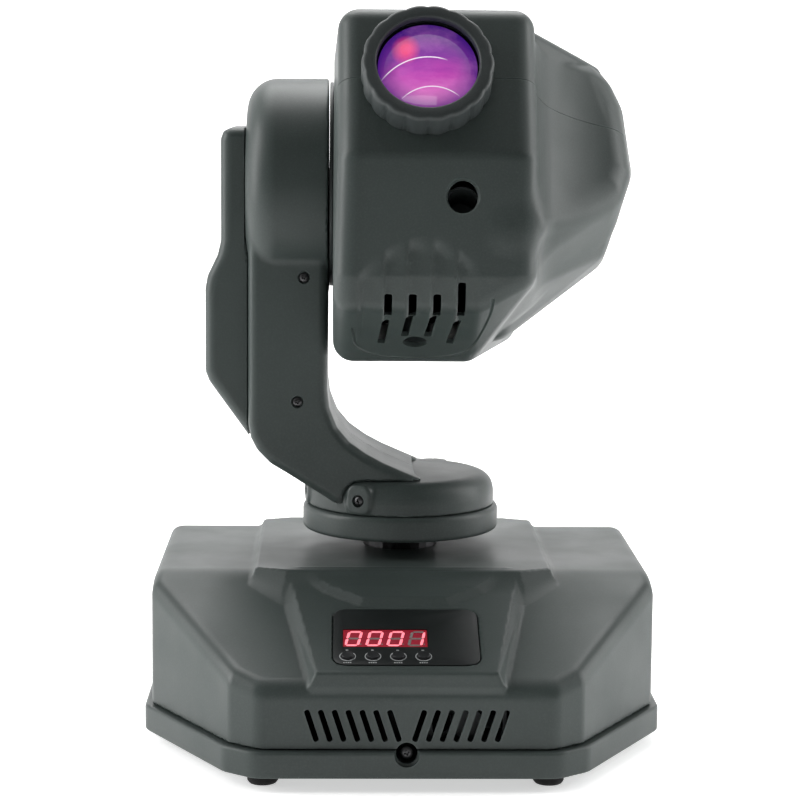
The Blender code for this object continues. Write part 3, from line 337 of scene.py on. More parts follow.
def carve(mesh, tools, operation="DIFFERENCE"):
    """Boolean each tool mesh from the mesh."""
    item = temporary(mesh)
    others = [temporary(tool) for tool in tools]
    for other in others:
        step = item.modifiers.new("carve", "BOOLEAN")
        step.operation = operation
        step.solver = "EXACT" if open_edges(mesh) or open_edges(other.data) else "MANIFOLD"
        step.object = other
    made = applied(item)
    for other in others:
        bpy.data.objects.remove(other, do_unlink=True)
    return made


def as_mesh(bm):
    bmesh.ops.recalc_face_normals(bm, faces=bm.faces)
    mesh = bpy.data.meshes.new("part")
    bm.to_mesh(mesh)
    bm.free()
    return mesh


def smooth_as(mesh, fields, angle=30.0):
    """Shade corners that lie on a field's surface by the field, and the rest by angle."""
    mesh.shade_smooth()
    mesh.set_sharp_from_angle(angle=math.radians(angle))
    if not fields:
        return mesh
    count = len(mesh.loops)
    normals = np.empty(count * 3, np.float32)
    mesh.corner_normals.foreach_get("vector", normals)
    normals = normals.reshape(-1, 3).astype(float)
    points = np.empty(len(mesh.vertices) * 3, np.float32)
    mesh.vertices.foreach_get("co", points)
    points = points.reshape(-1, 3).astype(float)
    owner = np.empty(count, np.int32)
    mesh.loops.foreach_get("vertex_index", owner)
    sizes = np.empty(len(mesh.polygons), np.int32)
    mesh.polygons.foreach_get("loop_total", sizes)
    centres = np.empty(len(mesh.polygons) * 3, np.float32)
    mesh.polygons.foreach_get("center", centres)
    facing = np.empty(len(mesh.polygons) * 3, np.float32)
    mesh.polygons.foreach_get("normal", facing)
    centres = centres.reshape(-1, 3).astype(float)
    facing = facing.reshape(-1, 3).astype(float)
    for field, sign in fields:
        grown = slope_of(field, points) * sign
        here = np.abs(field(*points.T)) < 0.05
        lean = slope_of(field, centres) * sign
        on = (np.abs(field(*centres.T)) < 0.25) & ((lean * facing).sum(axis=1) > 0.9)
        corner_on = np.repeat(on, sizes) & here[owner]
        normals[corner_on] = grown[owner[corner_on]]
    mesh.normals_split_custom_set(normals)
    return mesh


# ---------------------------------------------------------------- mesh helpers


def place(mesh, name, body, slot, replaces=(), matrix=None, material=None):
    """Put a mesh made in millimetres into the scene as a piece riding on a body, in its slot's material."""
    mesh.name = name
    mesh.transform(Matrix.Scale(MM, 4))
    mesh.materials.clear()
    mesh.materials.append(material or MATERIALS[slot])
    item = bpy.data.objects.new(name, mesh)
    bpy.context.scene.collection.objects.link(item)
    if matrix is not None:
        item.matrix_world = Matrix.Translation(matrix.to_translation() * MM) @ matrix.to_3x3().to_4x4()
    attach(item, body)
    if replaces:
        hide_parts(*replaces)
    return item


def join_rings(bm, ring, following, steps):
    if len(ring) == 1 and len(following) == 1:
        return
    for step in range(steps):
        after = (step + 1) % steps
        if len(ring) == 1:
            bm.faces.new((ring[0], following[after], following[step]))
        elif len(following) == 1:
            bm.faces.new((ring[step], ring[after], following[0]))
        else:
            bm.faces.new((ring[step], ring[after], following[after], following[step]))


def revolve(profile, steps=96):
    """Turn a closed (radius, height) profile about Z."""
    bm = bmesh.new()
    rings = []
    for radius, height in profile:
        if radius < 1e-6:
            rings.append([bm.verts.new((0.0, 0.0, height))])
            continue
        turns = [2 * math.pi * step / steps for step in range(steps)]
        rings.append([bm.verts.new((radius * math.cos(a), radius * math.sin(a), height)) for a in turns])
    for index, ring in enumerate(rings):
        join_rings(bm, ring, rings[(index + 1) % len(rings)], steps)
    return bm


def disc(radius, low, high, steps=48):
    return revolve([(0, low), (radius, low), (radius, high), (0, high)], steps)


def eased(profile, radius, steps=5):
    """Round each corner of a closed (radius, height) profile that is off the axis."""
    made = []
    for index, point in enumerate(profile):
        point = np.array(point[:2], float)
        size = profile[index][2] if len(profile[index]) > 2 else radius
        back = np.array(profile[index - 1][:2], float) - point
        ahead = np.array(profile[(index + 1) % len(profile)][:2], float) - point
        lengths = np.linalg.norm(back), np.linalg.norm(ahead)
        if point[0] < 1e-6 or size <= 0 or min(lengths) < 1e-6:
            made.append(tuple(point))
            continue
        back, ahead = back / lengths[0], ahead / lengths[1]
        half = math.acos(max(-1.0, min(1.0, float(back @ ahead)))) / 2
        if half > 1.5:
            made.append(tuple(point))
            continue
        reach = min(size / math.tan(half), 0.48 * lengths[0], 0.48 * lengths[1])
        start, end = point + back * reach, point + ahead * reach
        for step in range(steps + 1):
            share = step / steps
            weight = (1 - share) ** 2, 2 * share * (1 - share), share ** 2
            made.append(tuple(weight[0] * start + weight[1] * point + weight[2] * end))
    return made


def loft(outline, rows):
    """Closed skin from (inset, height) rows of one outline; the first and last rows are capped."""
    bm = bmesh.new()
    loops = []
    for inset, height in rows:
        points = shrink(outline, inset) if inset else outline
        loops.append([bm.verts.new((x, y, height)) for x, y in points])
    for first, second in zip(loops, loops[1:]):
        join_rings(bm, first, second, len(outline))
    bm.faces.new(loops[0])
    bm.faces.new(loops[-1])
    return bm


def box(low, high):
    bm = bmesh.new()
    bmesh.ops.create_cube(bm, size=1.0)
    bmesh.ops.scale(bm, vec=[b - a for a, b in zip(low, high)], verts=bm.verts)
    bmesh.ops.translate(bm, vec=[(a + b) / 2 for a, b in zip(low, high)], verts=bm.verts)
    return bm


def turned(bm, matrix):
    bmesh.ops.transform(bm, matrix=matrix, verts=bm.verts)
    return bm


def soften(outline, radius, steps=8):
    """Replace each corner of an outline with an arc."""
    closed = [(x + 1e4, y, radius) for x, y in outline]
    return [(x - 1e4, y) for x, y in eased(closed, radius, steps)]


def rectangle(width, length, radius, steps=8, middle=(0.0, 0.0)):
    x, y = middle
    corners = [
        (x + width / 2, y + length / 2), (x - width / 2, y + length / 2),
        (x - width / 2, y - length / 2), (x + width / 2, y - length / 2),
    ]
    return soften(corners, radius, steps)


# ---------------------------------------------------------------- materials


class Paint:
    """Builds one node material on the Principled shader."""

    def __init__(self, name, roughness, metallic=0.0):
        self.material = bpy.data.materials.new(name)
        self.material.use_nodes = True
        self.nodes = self.material.node_tree.nodes
        self.links = self.material.node_tree.links
        self.shader = self.nodes["Principled BSDF"]
        self.shader.inputs["Roughness"].default_value = roughness
        self.shader.inputs["Metallic"].default_value = metallic
        self.where = self.nodes.new("ShaderNodeTexCoord").outputs["Object"]

    def set(self, name, value):
        self.shader.inputs[name].default_value = value
        return self

    def noise(self, scale, detail=3.0, roughness=0.5, stretch=None):
        made = self.nodes.new("ShaderNodeTexNoise")
        made.inputs["Scale"].default_value = scale
        made.inputs["Detail"].default_value = detail
        made.inputs["Roughness"].default_value = roughness
        source = self.where
        if stretch:
            mapping = self.nodes.new("ShaderNodeMapping")
            mapping.inputs["Scale"].default_value = stretch
            self.links.new(source, mapping.inputs["Vector"])
            source = mapping.outputs["Vector"]
        self.links.new(source, made.inputs["Vector"])
        return made.outputs["Fac"]

    def ramp(self, fac, stops):
        made = self.nodes.new("ShaderNodeValToRGB")
        for index, (position, colour) in enumerate(stops):
            stop = made.color_ramp.elements[index] if index < 2 else made.color_ramp.elements.new(position)
            stop.position = position
            stop.color = (*colour, 1.0) if len(colour) == 3 else colour
        self.links.new(fac, made.inputs["Fac"])
        return made.outputs["Color"]

    def span(self, fac, low, high, start=0.3, end=0.7):
        made = self.nodes.new("ShaderNodeMapRange")
        for name, value in (("From Min", start), ("From Max", end), ("To Min", low), ("To Max", high)):
            made.inputs[name].default_value = value
        self.links.new(fac, made.inputs["Value"])
        return made.outputs["Result"]

    def mix(self, fac, first, second, mode="MIX"):
        made = self.nodes.new("ShaderNodeMix")
        made.data_type = "RGBA"
        made.blend_type = mode
        if isinstance(fac, float):
            made.inputs[0].default_value = fac
        else:
            self.links.new(fac, made.inputs[0])
        for socket, value in ((made.inputs[6], first), (made.inputs[7], second)):
            if isinstance(value, tuple):
                socket.default_value = (*value, 1.0)
            else:
                self.links.new(value, socket)
        return made.outputs[2]

    def edge_wear_and_highlight(self, radius, samples=4):
        """How much a corner stands out: 0 on a flat face, more on a tight edge."""
        bevel = self.nodes.new("ShaderNodeBevel")
        bevel.samples = samples
        bevel.inputs["Radius"].default_value = radius
        shape = self.nodes.new("ShaderNodeNewGeometry")
        dot = self.nodes.new("ShaderNodeVectorMath")
        dot.operation = "DOT_PRODUCT"
        self.links.new(bevel.outputs["Normal"], dot.inputs[0])
        self.links.new(shape.outputs["Normal"], dot.inputs[1])
        return self.span(dot.outputs["Value"], 1.0, 0.0, 0.93, 1.0)

    def bump(self, height, strength, distance):
        made = self.nodes.new("ShaderNodeBump")
        made.inputs["Strength"].default_value = strength
        made.inputs["Distance"].default_value = distance
        self.links.new(height, made.inputs["Height"])
        self.links.new(made.outputs["Normal"], self.shader.inputs["Normal"])
        return self

    def ring_distance(self, centre, scale):
        """Distance of a point from the centre, with each direction scaled."""
        moved = self.nodes.new("ShaderNodeVectorMath")
        moved.operation = "SUBTRACT"
        moved.inputs[1].default_value = centre
        self.links.new(self.where, moved.inputs[0])
        sized = self.nodes.new("ShaderNodeVectorMath")
        sized.operation = "MULTIPLY"
        sized.inputs[1].default_value = scale
        self.links.new(moved.outputs[0], sized.inputs[0])
        length = self.nodes.new("ShaderNodeVectorMath")
        length.operation = "LENGTH"
        self.links.new(sized.outputs[0], length.inputs[0])
        return length.outputs["Value"]

    def maths(self, operation, first, second):
        made = self.nodes.new("ShaderNodeMath")
        made.operation = operation
        for socket, value in zip(made.inputs, (first, second)):
            if isinstance(value, float):
                socket.default_value = value
            else:
                self.links.new(value, socket)
        return made.outputs[0]

    def blend_factors(self, first, second, share):
        """The first value, nudged by how far the second is from its middle."""
        return self.maths("ADD", first, self.maths("MULTIPLY", self.maths("SUBTRACT", second, 0.5), share))

    def arc(self, centre, radius, width, left, right, split):
        """1 on a thin arc of a circle in the XY plane between two X places, else 0."""
        away = self.maths("SUBTRACT", self.ring_distance(centre, (1.0, 1.0, 0.0)), radius)
        line = self.span(self.maths("ABSOLUTE", away, 0.0), 1.0, 0.0, width * 0.4, width)
        upper = self.span(split.outputs["Y"], 0.0, 1.0, centre[1], centre[1] + 0.004)
        ends = self.maths(
            "MULTIPLY",
            self.span(split.outputs["X"], 0.0, 1.0, left, left + 0.005),
            self.span(split.outputs["X"], 1.0, 0.0, right - 0.005, right),
        )
        return self.maths("MULTIPLY", line, self.maths("MULTIPLY", upper, ends))

    def feed(self, name, output):
        self.links.new(output, self.shader.inputs[name])
        return self


def shade(colour, factor):
    return tuple(min(1.0, c * factor) for c in colour)


def moulded(name, colour, roughness, grain=1500.0, depth=0.00012, strength=0.35, wear_and_edge_highlight=True):
    """Moulded plastic: fine spark grain, uneven sheen, slight dust, and edges lightened in patches, partly as
    rubbed wear and partly as a painted highlight.
    """
    paint = Paint(name, roughness)
    paint.set("Specular IOR Level", 0.33)
    cloud = paint.noise(7.0, 4.0, 0.6)
    base = paint.ramp(cloud, [(0.3, shade(colour, 0.88)), (0.7, shade(colour, 1.12))])
    speck = paint.noise(grain * 0.6, 2.0)
    base = paint.mix(paint.span(speck, 0.0, 0.35, 0.45, 0.75), base, shade(colour, 1.5))
    if wear_and_edge_highlight:
        # Lighter patches along edges: partly rubbed wear, partly a painted edge highlight.
        rub_and_highlight_patches = paint.noise(60.0, 3.0)
        edge = paint.edge_wear_and_highlight(0.0016)
        both = paint.nodes.new("ShaderNodeMath")
        both.operation = "MULTIPLY"
        paint.links.new(edge, both.inputs[0])
        paint.links.new(paint.span(rub_and_highlight_patches, 0.0, 0.5, 0.4, 0.65), both.inputs[1])
        base = paint.mix(both.outputs[0], base, shade(colour, 2.6))
    paint.feed("Base Color", base)
    sheen = paint.noise(22.0, 3.0)
    paint.feed("Roughness", paint.span(sheen, roughness - 0.05, roughness + 0.06))
    paint.bump(paint.noise(grain, 2.0, 0.6), strength, depth)
    return paint.material


def metal(name, colour, roughness, stretch=(1.0, 1.0, 60.0), scale=40.0):
    """Turned or rolled metal with fine marks along one direction."""
    paint = Paint(name, roughness, 1.0)
    marks = paint.noise(scale, 3.0, 0.6, stretch)
    paint.feed("Base Color", paint.ramp(marks, [(0.3, shade(colour, 0.8)), (0.7, shade(colour, 1.08))]))
    paint.feed("Roughness", paint.span(marks, roughness - 0.08, roughness + 0.12))
    paint.bump(marks, 0.2, 0.0001)
    return paint.material


BODY = (0.040, 0.051, 0.048)
MATERIALS = {
    "body_grey": moulded("body_grey_moulded", BODY, 0.42),
    "dark_plastic": moulded("dark_plastic_moulded", (0.030, 0.036, 0.036), 0.46),
    "panel_black": moulded("panel_black_film", (0.005, 0.007, 0.007), 0.42, 2500.0, 0.00003, 0.2, False),
    "button_black": moulded("button_black_moulded", (0.012, 0.013, 0.014), 0.4, wear_and_edge_highlight=False),
    "rubber_black": moulded("rubber_black_matt", (0.012, 0.012, 0.012), 0.75, 2200.0, 0.0002, 0.5),
    "screw_steel": metal("screw_blackened", (0.07, 0.07, 0.072), 0.38, (1, 1, 1), 300.0),
    "plate_steel": metal("plate_zinc", (0.45, 0.46, 0.47), 0.36, (1, 30, 1), 60.0),
    "turned_aluminium": metal("aluminium_turned", (0.62, 0.63, 0.65), 0.3, (1, 1, 60), 60.0),
    "reflector_bright": metal("reflector_bright_coat", (0.85, 0.85, 0.86), 0.12, (1, 1, 4), 30.0),
    "core_copper": moulded("winding_varnish", (0.30, 0.13, 0.06), 0.35, 500.0, 0.0005, 0.5),
    "board_green": moulded("board_lacquer", (0.02, 0.11, 0.05), 0.35, 300.0, 0.0001, 0.3),
    "ceramic_white": moulded("ceramic_socket", (0.70, 0.68, 0.63), 0.55, 700.0, 0.0001, 0.3),
}


def clear(name, colour, roughness):
    paint = Paint(name, roughness)
    paint.set("Transmission Weight", 1.0).set("IOR", 1.5)
    dust = paint.noise(90.0, 4.0)
    paint.feed("Base Color", paint.ramp(dust, [(0.35, shade(colour, 0.93)), (0.7, colour)]))
    paint.feed("Roughness", paint.span(dust, roughness, roughness + 0.05))
    return paint.material


MATERIALS["clear_glass"] = clear("glass_clear", (0.9, 0.95, 0.97), 0.02)
MATERIALS["lens_glass"] = clear("glass_coated", (0.8, 0.6, 0.95), 0.02)
MATERIALS["display_red"] = moulded("display_window", (0.35, 0.02, 0.04), 0.3, wear_and_edge_highlight=False)

def glow(name, colour, emitted, strength, roughness=0.3):
    """Small lit or printed shapes: an even colour with faint mottling."""
    paint = Paint(name, roughness)
    fine = paint.noise(900.0, 2.0)
    paint.feed("Base Color", paint.ramp(fine, [(0.3, shade(colour, 0.85)), (0.7, shade(colour, 1.1))]))
    if strength:
        paint.feed("Emission Color", paint.ramp(fine, [(0.3, shade(emitted, 0.9)), (0.7, emitted)]))
        paint.set("Emission Strength", strength)
    return paint.material


LIT = glow("display_segment_lit", (0.85, 0.2, 0.25), (1.0, 0.26, 0.32), 0.9)
UNLIT = glow("display_segment_dark", (0.22, 0.20, 0.19), (0.0, 0.0, 0.0), 0.0)
BORDER = glow("display_border_red", (0.30, 0.008, 0.02), (0.5, 0.01, 0.03), 0.25)
PRINT = glow("panel_print_grey", (0.42, 0.44, 0.44), (0.0, 0.0, 0.0), 0.0, 0.5)


def lens_with_painted_light():
    """Purple coated glass with light painted into its colour, all of which glows: darker towards the rim, a
    painted gradient shaded at the top and lighter towards the bottom, a painted red spot, lighter patches,
    and thin bright arcs painted as reflections.
    """
    paint = Paint("lens_purple_painted_light", 0.06)
    paint.set("Coat Weight", 1.0).set("Coat Roughness", 0.03)
    split = paint.nodes.new("ShaderNodeSeparateXYZ")
    paint.links.new(paint.where, split.inputs[0])
    haze_and_light_streaks = paint.noise(55.0, 3.0, 0.6, (1.0, 3.0, 1.0))
    blotch = paint.noise(38.0, 4.0, 0.6)
    # Painted gradient of light: shaded deep purple at the top, lighter pink towards the bottom.
    height = paint.span(split.outputs["Y"], 0.0, 1.0, 0.026, -0.030)
    across = paint.ring_distance((0.0, -0.016, 0.153), (0.8, 1.0, 0.3))
    tint = paint.ramp(paint.blend_factors(height, haze_and_light_streaks, 0.25), [
        (0.0, (0.07, 0.015, 0.20)), (0.35, (0.24, 0.03, 0.36)),
        (0.62, (0.58, 0.08, 0.48)), (0.9, (0.85, 0.26, 0.66)),
    ])
    # Darker towards the rim.
    rim = paint.span(paint.ring_distance((0.0, 0.0, 0.151), (1.0, 1.0, 0.0)), 0.0, 1.0, 0.018, 0.0305)
    tint = paint.mix(rim, tint, (0.06, 0.010, 0.24))
    # A small bright red spot, painted light that glows with the rest of the tint.
    painted_red_spot = paint.span(paint.ring_distance((-0.013, 0.010, 0.153), (1.0, 0.8, 0.2)), 1.0, 0.0, 0.002, 0.009)
    tint = paint.mix(painted_red_spot, tint, (1.0, 0.06, 0.20))
    tint = paint.mix(paint.span(blotch, 0.0, 0.35, 0.5, 0.8), tint, (0.75, 0.25, 0.72))
    # Thin bright arcs painted as reflections of the inner glass rims.
    for centre, radius, width, left, right in (
        ((0.001, -0.0335, 0.153), 0.0375, 0.00055, -0.028, 0.012),
        ((0.003, -0.0440, 0.153), 0.0290, 0.00045, -0.016, 0.019),
    ):
        tint = paint.mix(paint.arc(centre, radius, width, left, right, split), tint, (1.0, 0.85, 1.0))
    # Half the tint is base colour and all of it glows: a painted glow in place of the light seen through the
    # glass.
    paint.feed("Base Color", paint.mix(0.5, tint, (0.0, 0.0, 0.0)))
    paint.feed("Emission Color", tint)
    paint.set("Emission Strength", 0.72)
    paint.feed("Roughness", paint.span(haze_and_light_streaks, 0.04, 0.10))
    return paint.material


LENS_PAINTED_LIGHT = lens_with_painted_light()

for row in frame["record"]["subparts"]:
    node = frame["nodes"][row["node"]]
    node.data.materials.clear()
    node.data.materials.append(MATERIALS[row["material_slot"]])

# ---------------------------------------------------------------- base shells

PLAN = [
    (157.5, 92.0), (105.0, 182.0), (88.0, 195.0), (-88.0, 195.0), (-105.0, 182.0), (-157.5, 92.0),
    (-157.5, -92.0), (-105.0, -182.0), (-88.0, -195.0), (88.0, -195.0), (105.0, -182.0), (157.5, -92.0),
]
WALL = 3.0
COVER_LOW = 24.5
COVER_FRONT = 195.0
ROOF_TOP = 106.7
ROOF_HALF = 80.0
ROOF_SLOPE = 0.381
RAISED_TOP = 110.0
POD_SLOPE = 0.34
PANEL_Y = -157.0
PANEL_SIZE = (87.0, 62.0)
PANEL_CORNER = 9.0
SCREW_Z = 22.6


def roof_height(y):
    return ROOF_TOP - ROOF_SLOPE * max(0.0, abs(y) - ROOF_HALF)


def pod_height(y):
    return 71.0 + POD_SLOPE * (COVER_FRONT - 0.5 - abs(y))


PANEL_LEAN = math.atan(POD_SLOPE)
PANEL_PLACE = Matrix.Translation((0.0, PANEL_Y, pod_height(PANEL_Y))) @ Matrix.Rotation(PANEL_LEAN, 4, "X")


def raised_forms(end):
    """The raised middle of the roof, the pod that carries the panel, and the tongue between them."""
    platform, pod, tongue = [], [], []
    for side in (-1, 1):
        platform += [
            (side * 93.0, end * -20.0, RAISED_TOP), (side * 93.0, end * 82.0, RAISED_TOP),
            (side * 74.0, end * 90.0, RAISED_TOP), (side * 97.0, end * 98.0, roof_height(98.0) - 3.0),
            (side * 76.0, end * 119.0, roof_height(119.0) - 3.0), (side * 97.0, end * -20.0, ROOF_TOP - 3.0),
        ]
        pod += [
            (side * 72.0, end * 84.0, pod_height(84.0) - 1.0), (side * 53.5, end * 194.8, 70.8),
            (side * 80.0, end * 84.0, roof_height(84.0) - 4.0), (side * 58.5, end * 194.8, 58.9),
        ]
        for x, y in ((66.0, 82.0), (44.0, 106.0), (25.0, 119.0)):
            tongue.append((side * x, end * y, min(RAISED_TOP, pod_height(y) + 2.2)))
        for x, y in ((74.0, 82.0), (51.0, 110.0), (28.0, 125.0)):
            tongue.append((side * x, end * y, pod_height(y) - 2.0))
    return [convex(platform, 2.2), convex(pod, 2.0), convex(tongue, 0.9)]


RAISED = raised_forms(-1)
plan = polygon(PLAN, 13.0)


def rounded_box(u, v, width, length, radius):
    a = np.abs(u) - (width / 2 - radius)
    b = np.abs(v) - (length / 2 - radius)
    return np.hypot(np.maximum(a, 0.0), np.maximum(b, 0.0)) + np.minimum(np.maximum(a, b), 0.0) - radius


def panel_pocket(x, y, z):
    c, s = math.cos(PANEL_LEAN), math.sin(PANEL_LEAN)
    dy, dz = y - PANEL_Y, z - pod_height(PANEL_Y)
    up, out = c * dy + s * dz, c * dz - s * dy
    outline = rounded_box(x, up, PANEL_SIZE[0] + 1.0, PANEL_SIZE[1] + 1.0, PANEL_CORNER + 0.5)
    return smax(outline, -2.6 - out, 0.8)


def roof_field(y, z, k):
    slope = (z - ROOF_TOP + ROOF_SLOPE * (np.abs(y) - ROOF_HALF)) * math.cos(math.atan(ROOF_SLOPE))
    return smax(z - ROOF_TOP, slope, k)


def cover_field(x, y, z):
    body = smax(plan(x, y), roof_field(y, z, 4.0), 9.0)
    for form in RAISED:
        body = smin(body, form(x, -np.abs(y), z), 2.5)
    body = smax(body, -panel_pocket(x, y, z), 1.4)
    return smax(body, COVER_LOW - z, 0.8)


def cover_space(x, y, z):
    return np.maximum(np.maximum(plan(x, y) + WALL, roof_field(y, z, 4.0) + WALL), 14.0 - z)


SLOT_COUNT = 7
SLOT_FIRST = 7.4
SLOT_PITCH = 8.1
SLOT_WIDTH = 3.4
SLOT_HEIGHT = 20.0
SLOT_MIDDLE = 39.0
SLOT_LEAN = 18.0


def front_slots():
    tools = []
    for side in (-1, 1):
        for index in range(SLOT_COUNT):
            middle = side * (SLOT_FIRST + SLOT_PITCH * index)
            outline = rectangle(SLOT_WIDTH, SLOT_HEIGHT, 1.65, 5)
            tool = loft(outline, [(0.0, -12.0), (0.0, 12.0)])
            turned(tool, Matrix.Rotation(math.radians(90.0), 4, "X"))
            turned(tool, Matrix.Rotation(math.radians(side * SLOT_LEAN), 4, "Y"))
            turned(tool, Matrix.Translation((middle, -COVER_FRONT, SLOT_MIDDLE)))
            tools.append(as_mesh(tool))
    return tools


def screw_recess(end):
    tool = revolve(eased([(0, -4.5), (6.4, -4.5), (6.4, -0.5), (7.4, 0.6), (7.4, 12), (0, 12)], 0.3, 2), 48)
    turn = Matrix.Rotation(math.radians(90.0 * -end), 4, "X")
    return as_mesh(turned(tool, Matrix.Translation((0, end * (COVER_FRONT + 1.0), SCREW_Z)) @ turn))


def rear_openings():
    tools = [as_mesh(box((-77, 181, 30), (-47, 203, 54)))]
    for x, radius in ((-20.0, 7.3), (20.0, 12.3), (60.0, 12.3)):
        tools.append(as_mesh(turned(disc(radius, -14, 10), Matrix.Translation((x, 195, 42)) @ ALONG_Y)))
    return tools


def make_cover():
    mesh = skin(cover_field, (-166, -204, 18), (166, 204, 116), 2.1, 0.34)
    inner = skin(cover_space, (-166, -204, 8), (166, 204, 116), 6.0, 0.12)
    tools = [inner, as_mesh(disc(24.6, 90, 130, 96))]
    tools.append(as_mesh(turned(box((-40, -27, -30), (38, 15, 0)), PANEL_PLACE)))
    tools += [screw_recess(-1), screw_recess(1)] + front_slots() + rear_openings()
    mesh = smooth_as(carve(mesh, tools), [(cover_field, 1.0)])
    place(mesh, "base_cover_shell", "base", "body_grey", ["base_cover"])


def make_tray():
    outline = soften(PLAN, 14.0, 10)
    rows = [
        (-2.9, 8.0), (-3.9, 8.2), (-4.4, 8.8), (-4.5, 9.8), (-4.5, 22.0), (-4.35, 23.1), (-3.9, 23.8),
        (-3.1, 24.15), (-2.4, 24.2), (WALL, 24.2), (WALL, 11.0),
    ]
    mesh = carve(as_mesh(loft(outline, rows)), [screw_recess(-1), screw_recess(1)])
    smooth_as(mesh, [], 40)
    place(mesh, "base_tray_shell", "base", "body_grey", ["base_tray"])


def make_feet():
    profile = eased([(0, 0), (8.0, 0), (9.3, 1.8), (9.3, 7.7), (0, 7.7)], 1.2, 5)
    for name, side, end in (
        ("front_left", -1, -1), ("front_right", 1, -1), ("rear_left", -1, 1), ("rear_right", 1, 1),
    ):
        mesh = smooth_as(as_mesh(revolve(profile, 48)), [], 50)
        at = Matrix.Translation((side * 85.0, end * 178.0, 0.0))
        place(mesh, "rubber_foot_" + name, "base", "rubber_black", ["foot_" + name], at)


def screw_mesh(radius, height, shank):
    """Domed cross-head screw along Z with the underside of its head at zero."""
    dome = [(0, -shank), (1.5, -shank), (1.5, 0), (radius * 0.93, 0), (radius, height * 0.16)]
    for step in range(1, 9):
        angle = math.radians(90.0 * step / 8)
        dome.append((radius * math.cos(angle) ** 0.8, height * (0.16 + 0.84 * math.sin(angle))))
    dome[-1] = (0, height)
    tools = []
    for turn in (0.0, 90.0):
        wide = [
            (-radius * 0.62, height + 1), (-radius * 0.2, height - 1.5),
            (radius * 0.2, height - 1.5), (radius * 0.62, height + 1),
        ]
        bm = bmesh.new()
        sides = [[bm.verts.new((x, y, z)) for x, z in wide] for y in (-0.5, 0.5)]
        join_rings(bm, sides[0], sides[1], 4)
        bm.faces.new(sides[0])
        bm.faces.new(sides[1])
        tools.append(as_mesh(turned(bm, Matrix.Rotation(math.radians(turn + 20.0), 4, "Z"))))
    return smooth_as(carve(as_mesh(revolve(dome, 48)), tools), [], 35)


def place_screw(name, body, at, normal_turn, radius, height, shank, replaces=()):
    matrix = Matrix.Translation(at) @ normal_turn
    mesh = screw_mesh(radius, height, shank)
    place(mesh, name, body, "screw_steel", replaces, matrix)


TO_FRONT = Matrix.Rotation(math.radians(90.0), 4, "X")
TO_BACK = Matrix.Rotation(math.radians(-90.0), 4, "X")

# ---------------------------------------------------------------- control panel


def panel_piece(mesh, name, body, slot, replaces=(), at=(0.0, 0.0, 0.0), material=None):
    matrix = PANEL_PLACE @ Matrix.Translation(at)
    return place(mesh, name, body, slot, replaces, matrix, material)


DISPLAY_AT = (-12.5, -1.8)
DISPLAY_SIZE = (50.3, 19.0)
BUTTON_XS = (-35.0, -20.0, -5.0, 10.0)
BUTTON_Y = -22.0
BUTTON_RADIUS = 3.6
SEGMENTS = {
    "a": ((-1, 2), (1, 2)), "b": ((1, 2), (1, 0)), "c": ((1, 0), (1, -2)), "d": ((-1, -2), (1, -2)),
    "e": ((-1, 0), (-1, -2)), "f": ((-1, 2), (-1, 0)), "g": ((-1, 0), (1, 0)),
}
DIGITS = ("abcdef", "abcdef", "abcdef", "bc")
DIGIT_HALF_WIDTH = 3.7
DIGIT_QUARTER = 3.7
SEGMENT_HALF = 0.85
DIGIT_PITCH = 12.6


def segment_points(name):
    (x0, y0), (x1, y1) = SEGMENTS[name]
    start = np.array((x0 * DIGIT_HALF_WIDTH, y0 * DIGIT_QUARTER))
    end = np.array((x1 * DIGIT_HALF_WIDTH, y1 * DIGIT_QUARTER))
    along = (end - start) / np.linalg.norm(end - start)
    across = np.array((-along[1], along[0])) * SEGMENT_HALF
    a, b = start + along * 0.25, end - along * 0.25
    points = [a, a + along * SEGMENT_HALF - across, b - along * SEGMENT_HALF - across]
    points += [b, b - along * SEGMENT_HALF + across, a + along * SEGMENT_HALF + across]
    return [(x + 0.17 * y, y) for x, y in points]


def flat_pieces(outlines, low, high):
    bm = bmesh.new()
    for outline in outlines:
        bottom = [bm.verts.new((x, y, low)) for x, y in outline]
        top = [bm.verts.new((x, y, high)) for x, y in outline]
        join_rings(bm, bottom, top, len(outline))
        bm.faces.new(bottom)
        bm.faces.new(top)
    return as_mesh(bm)


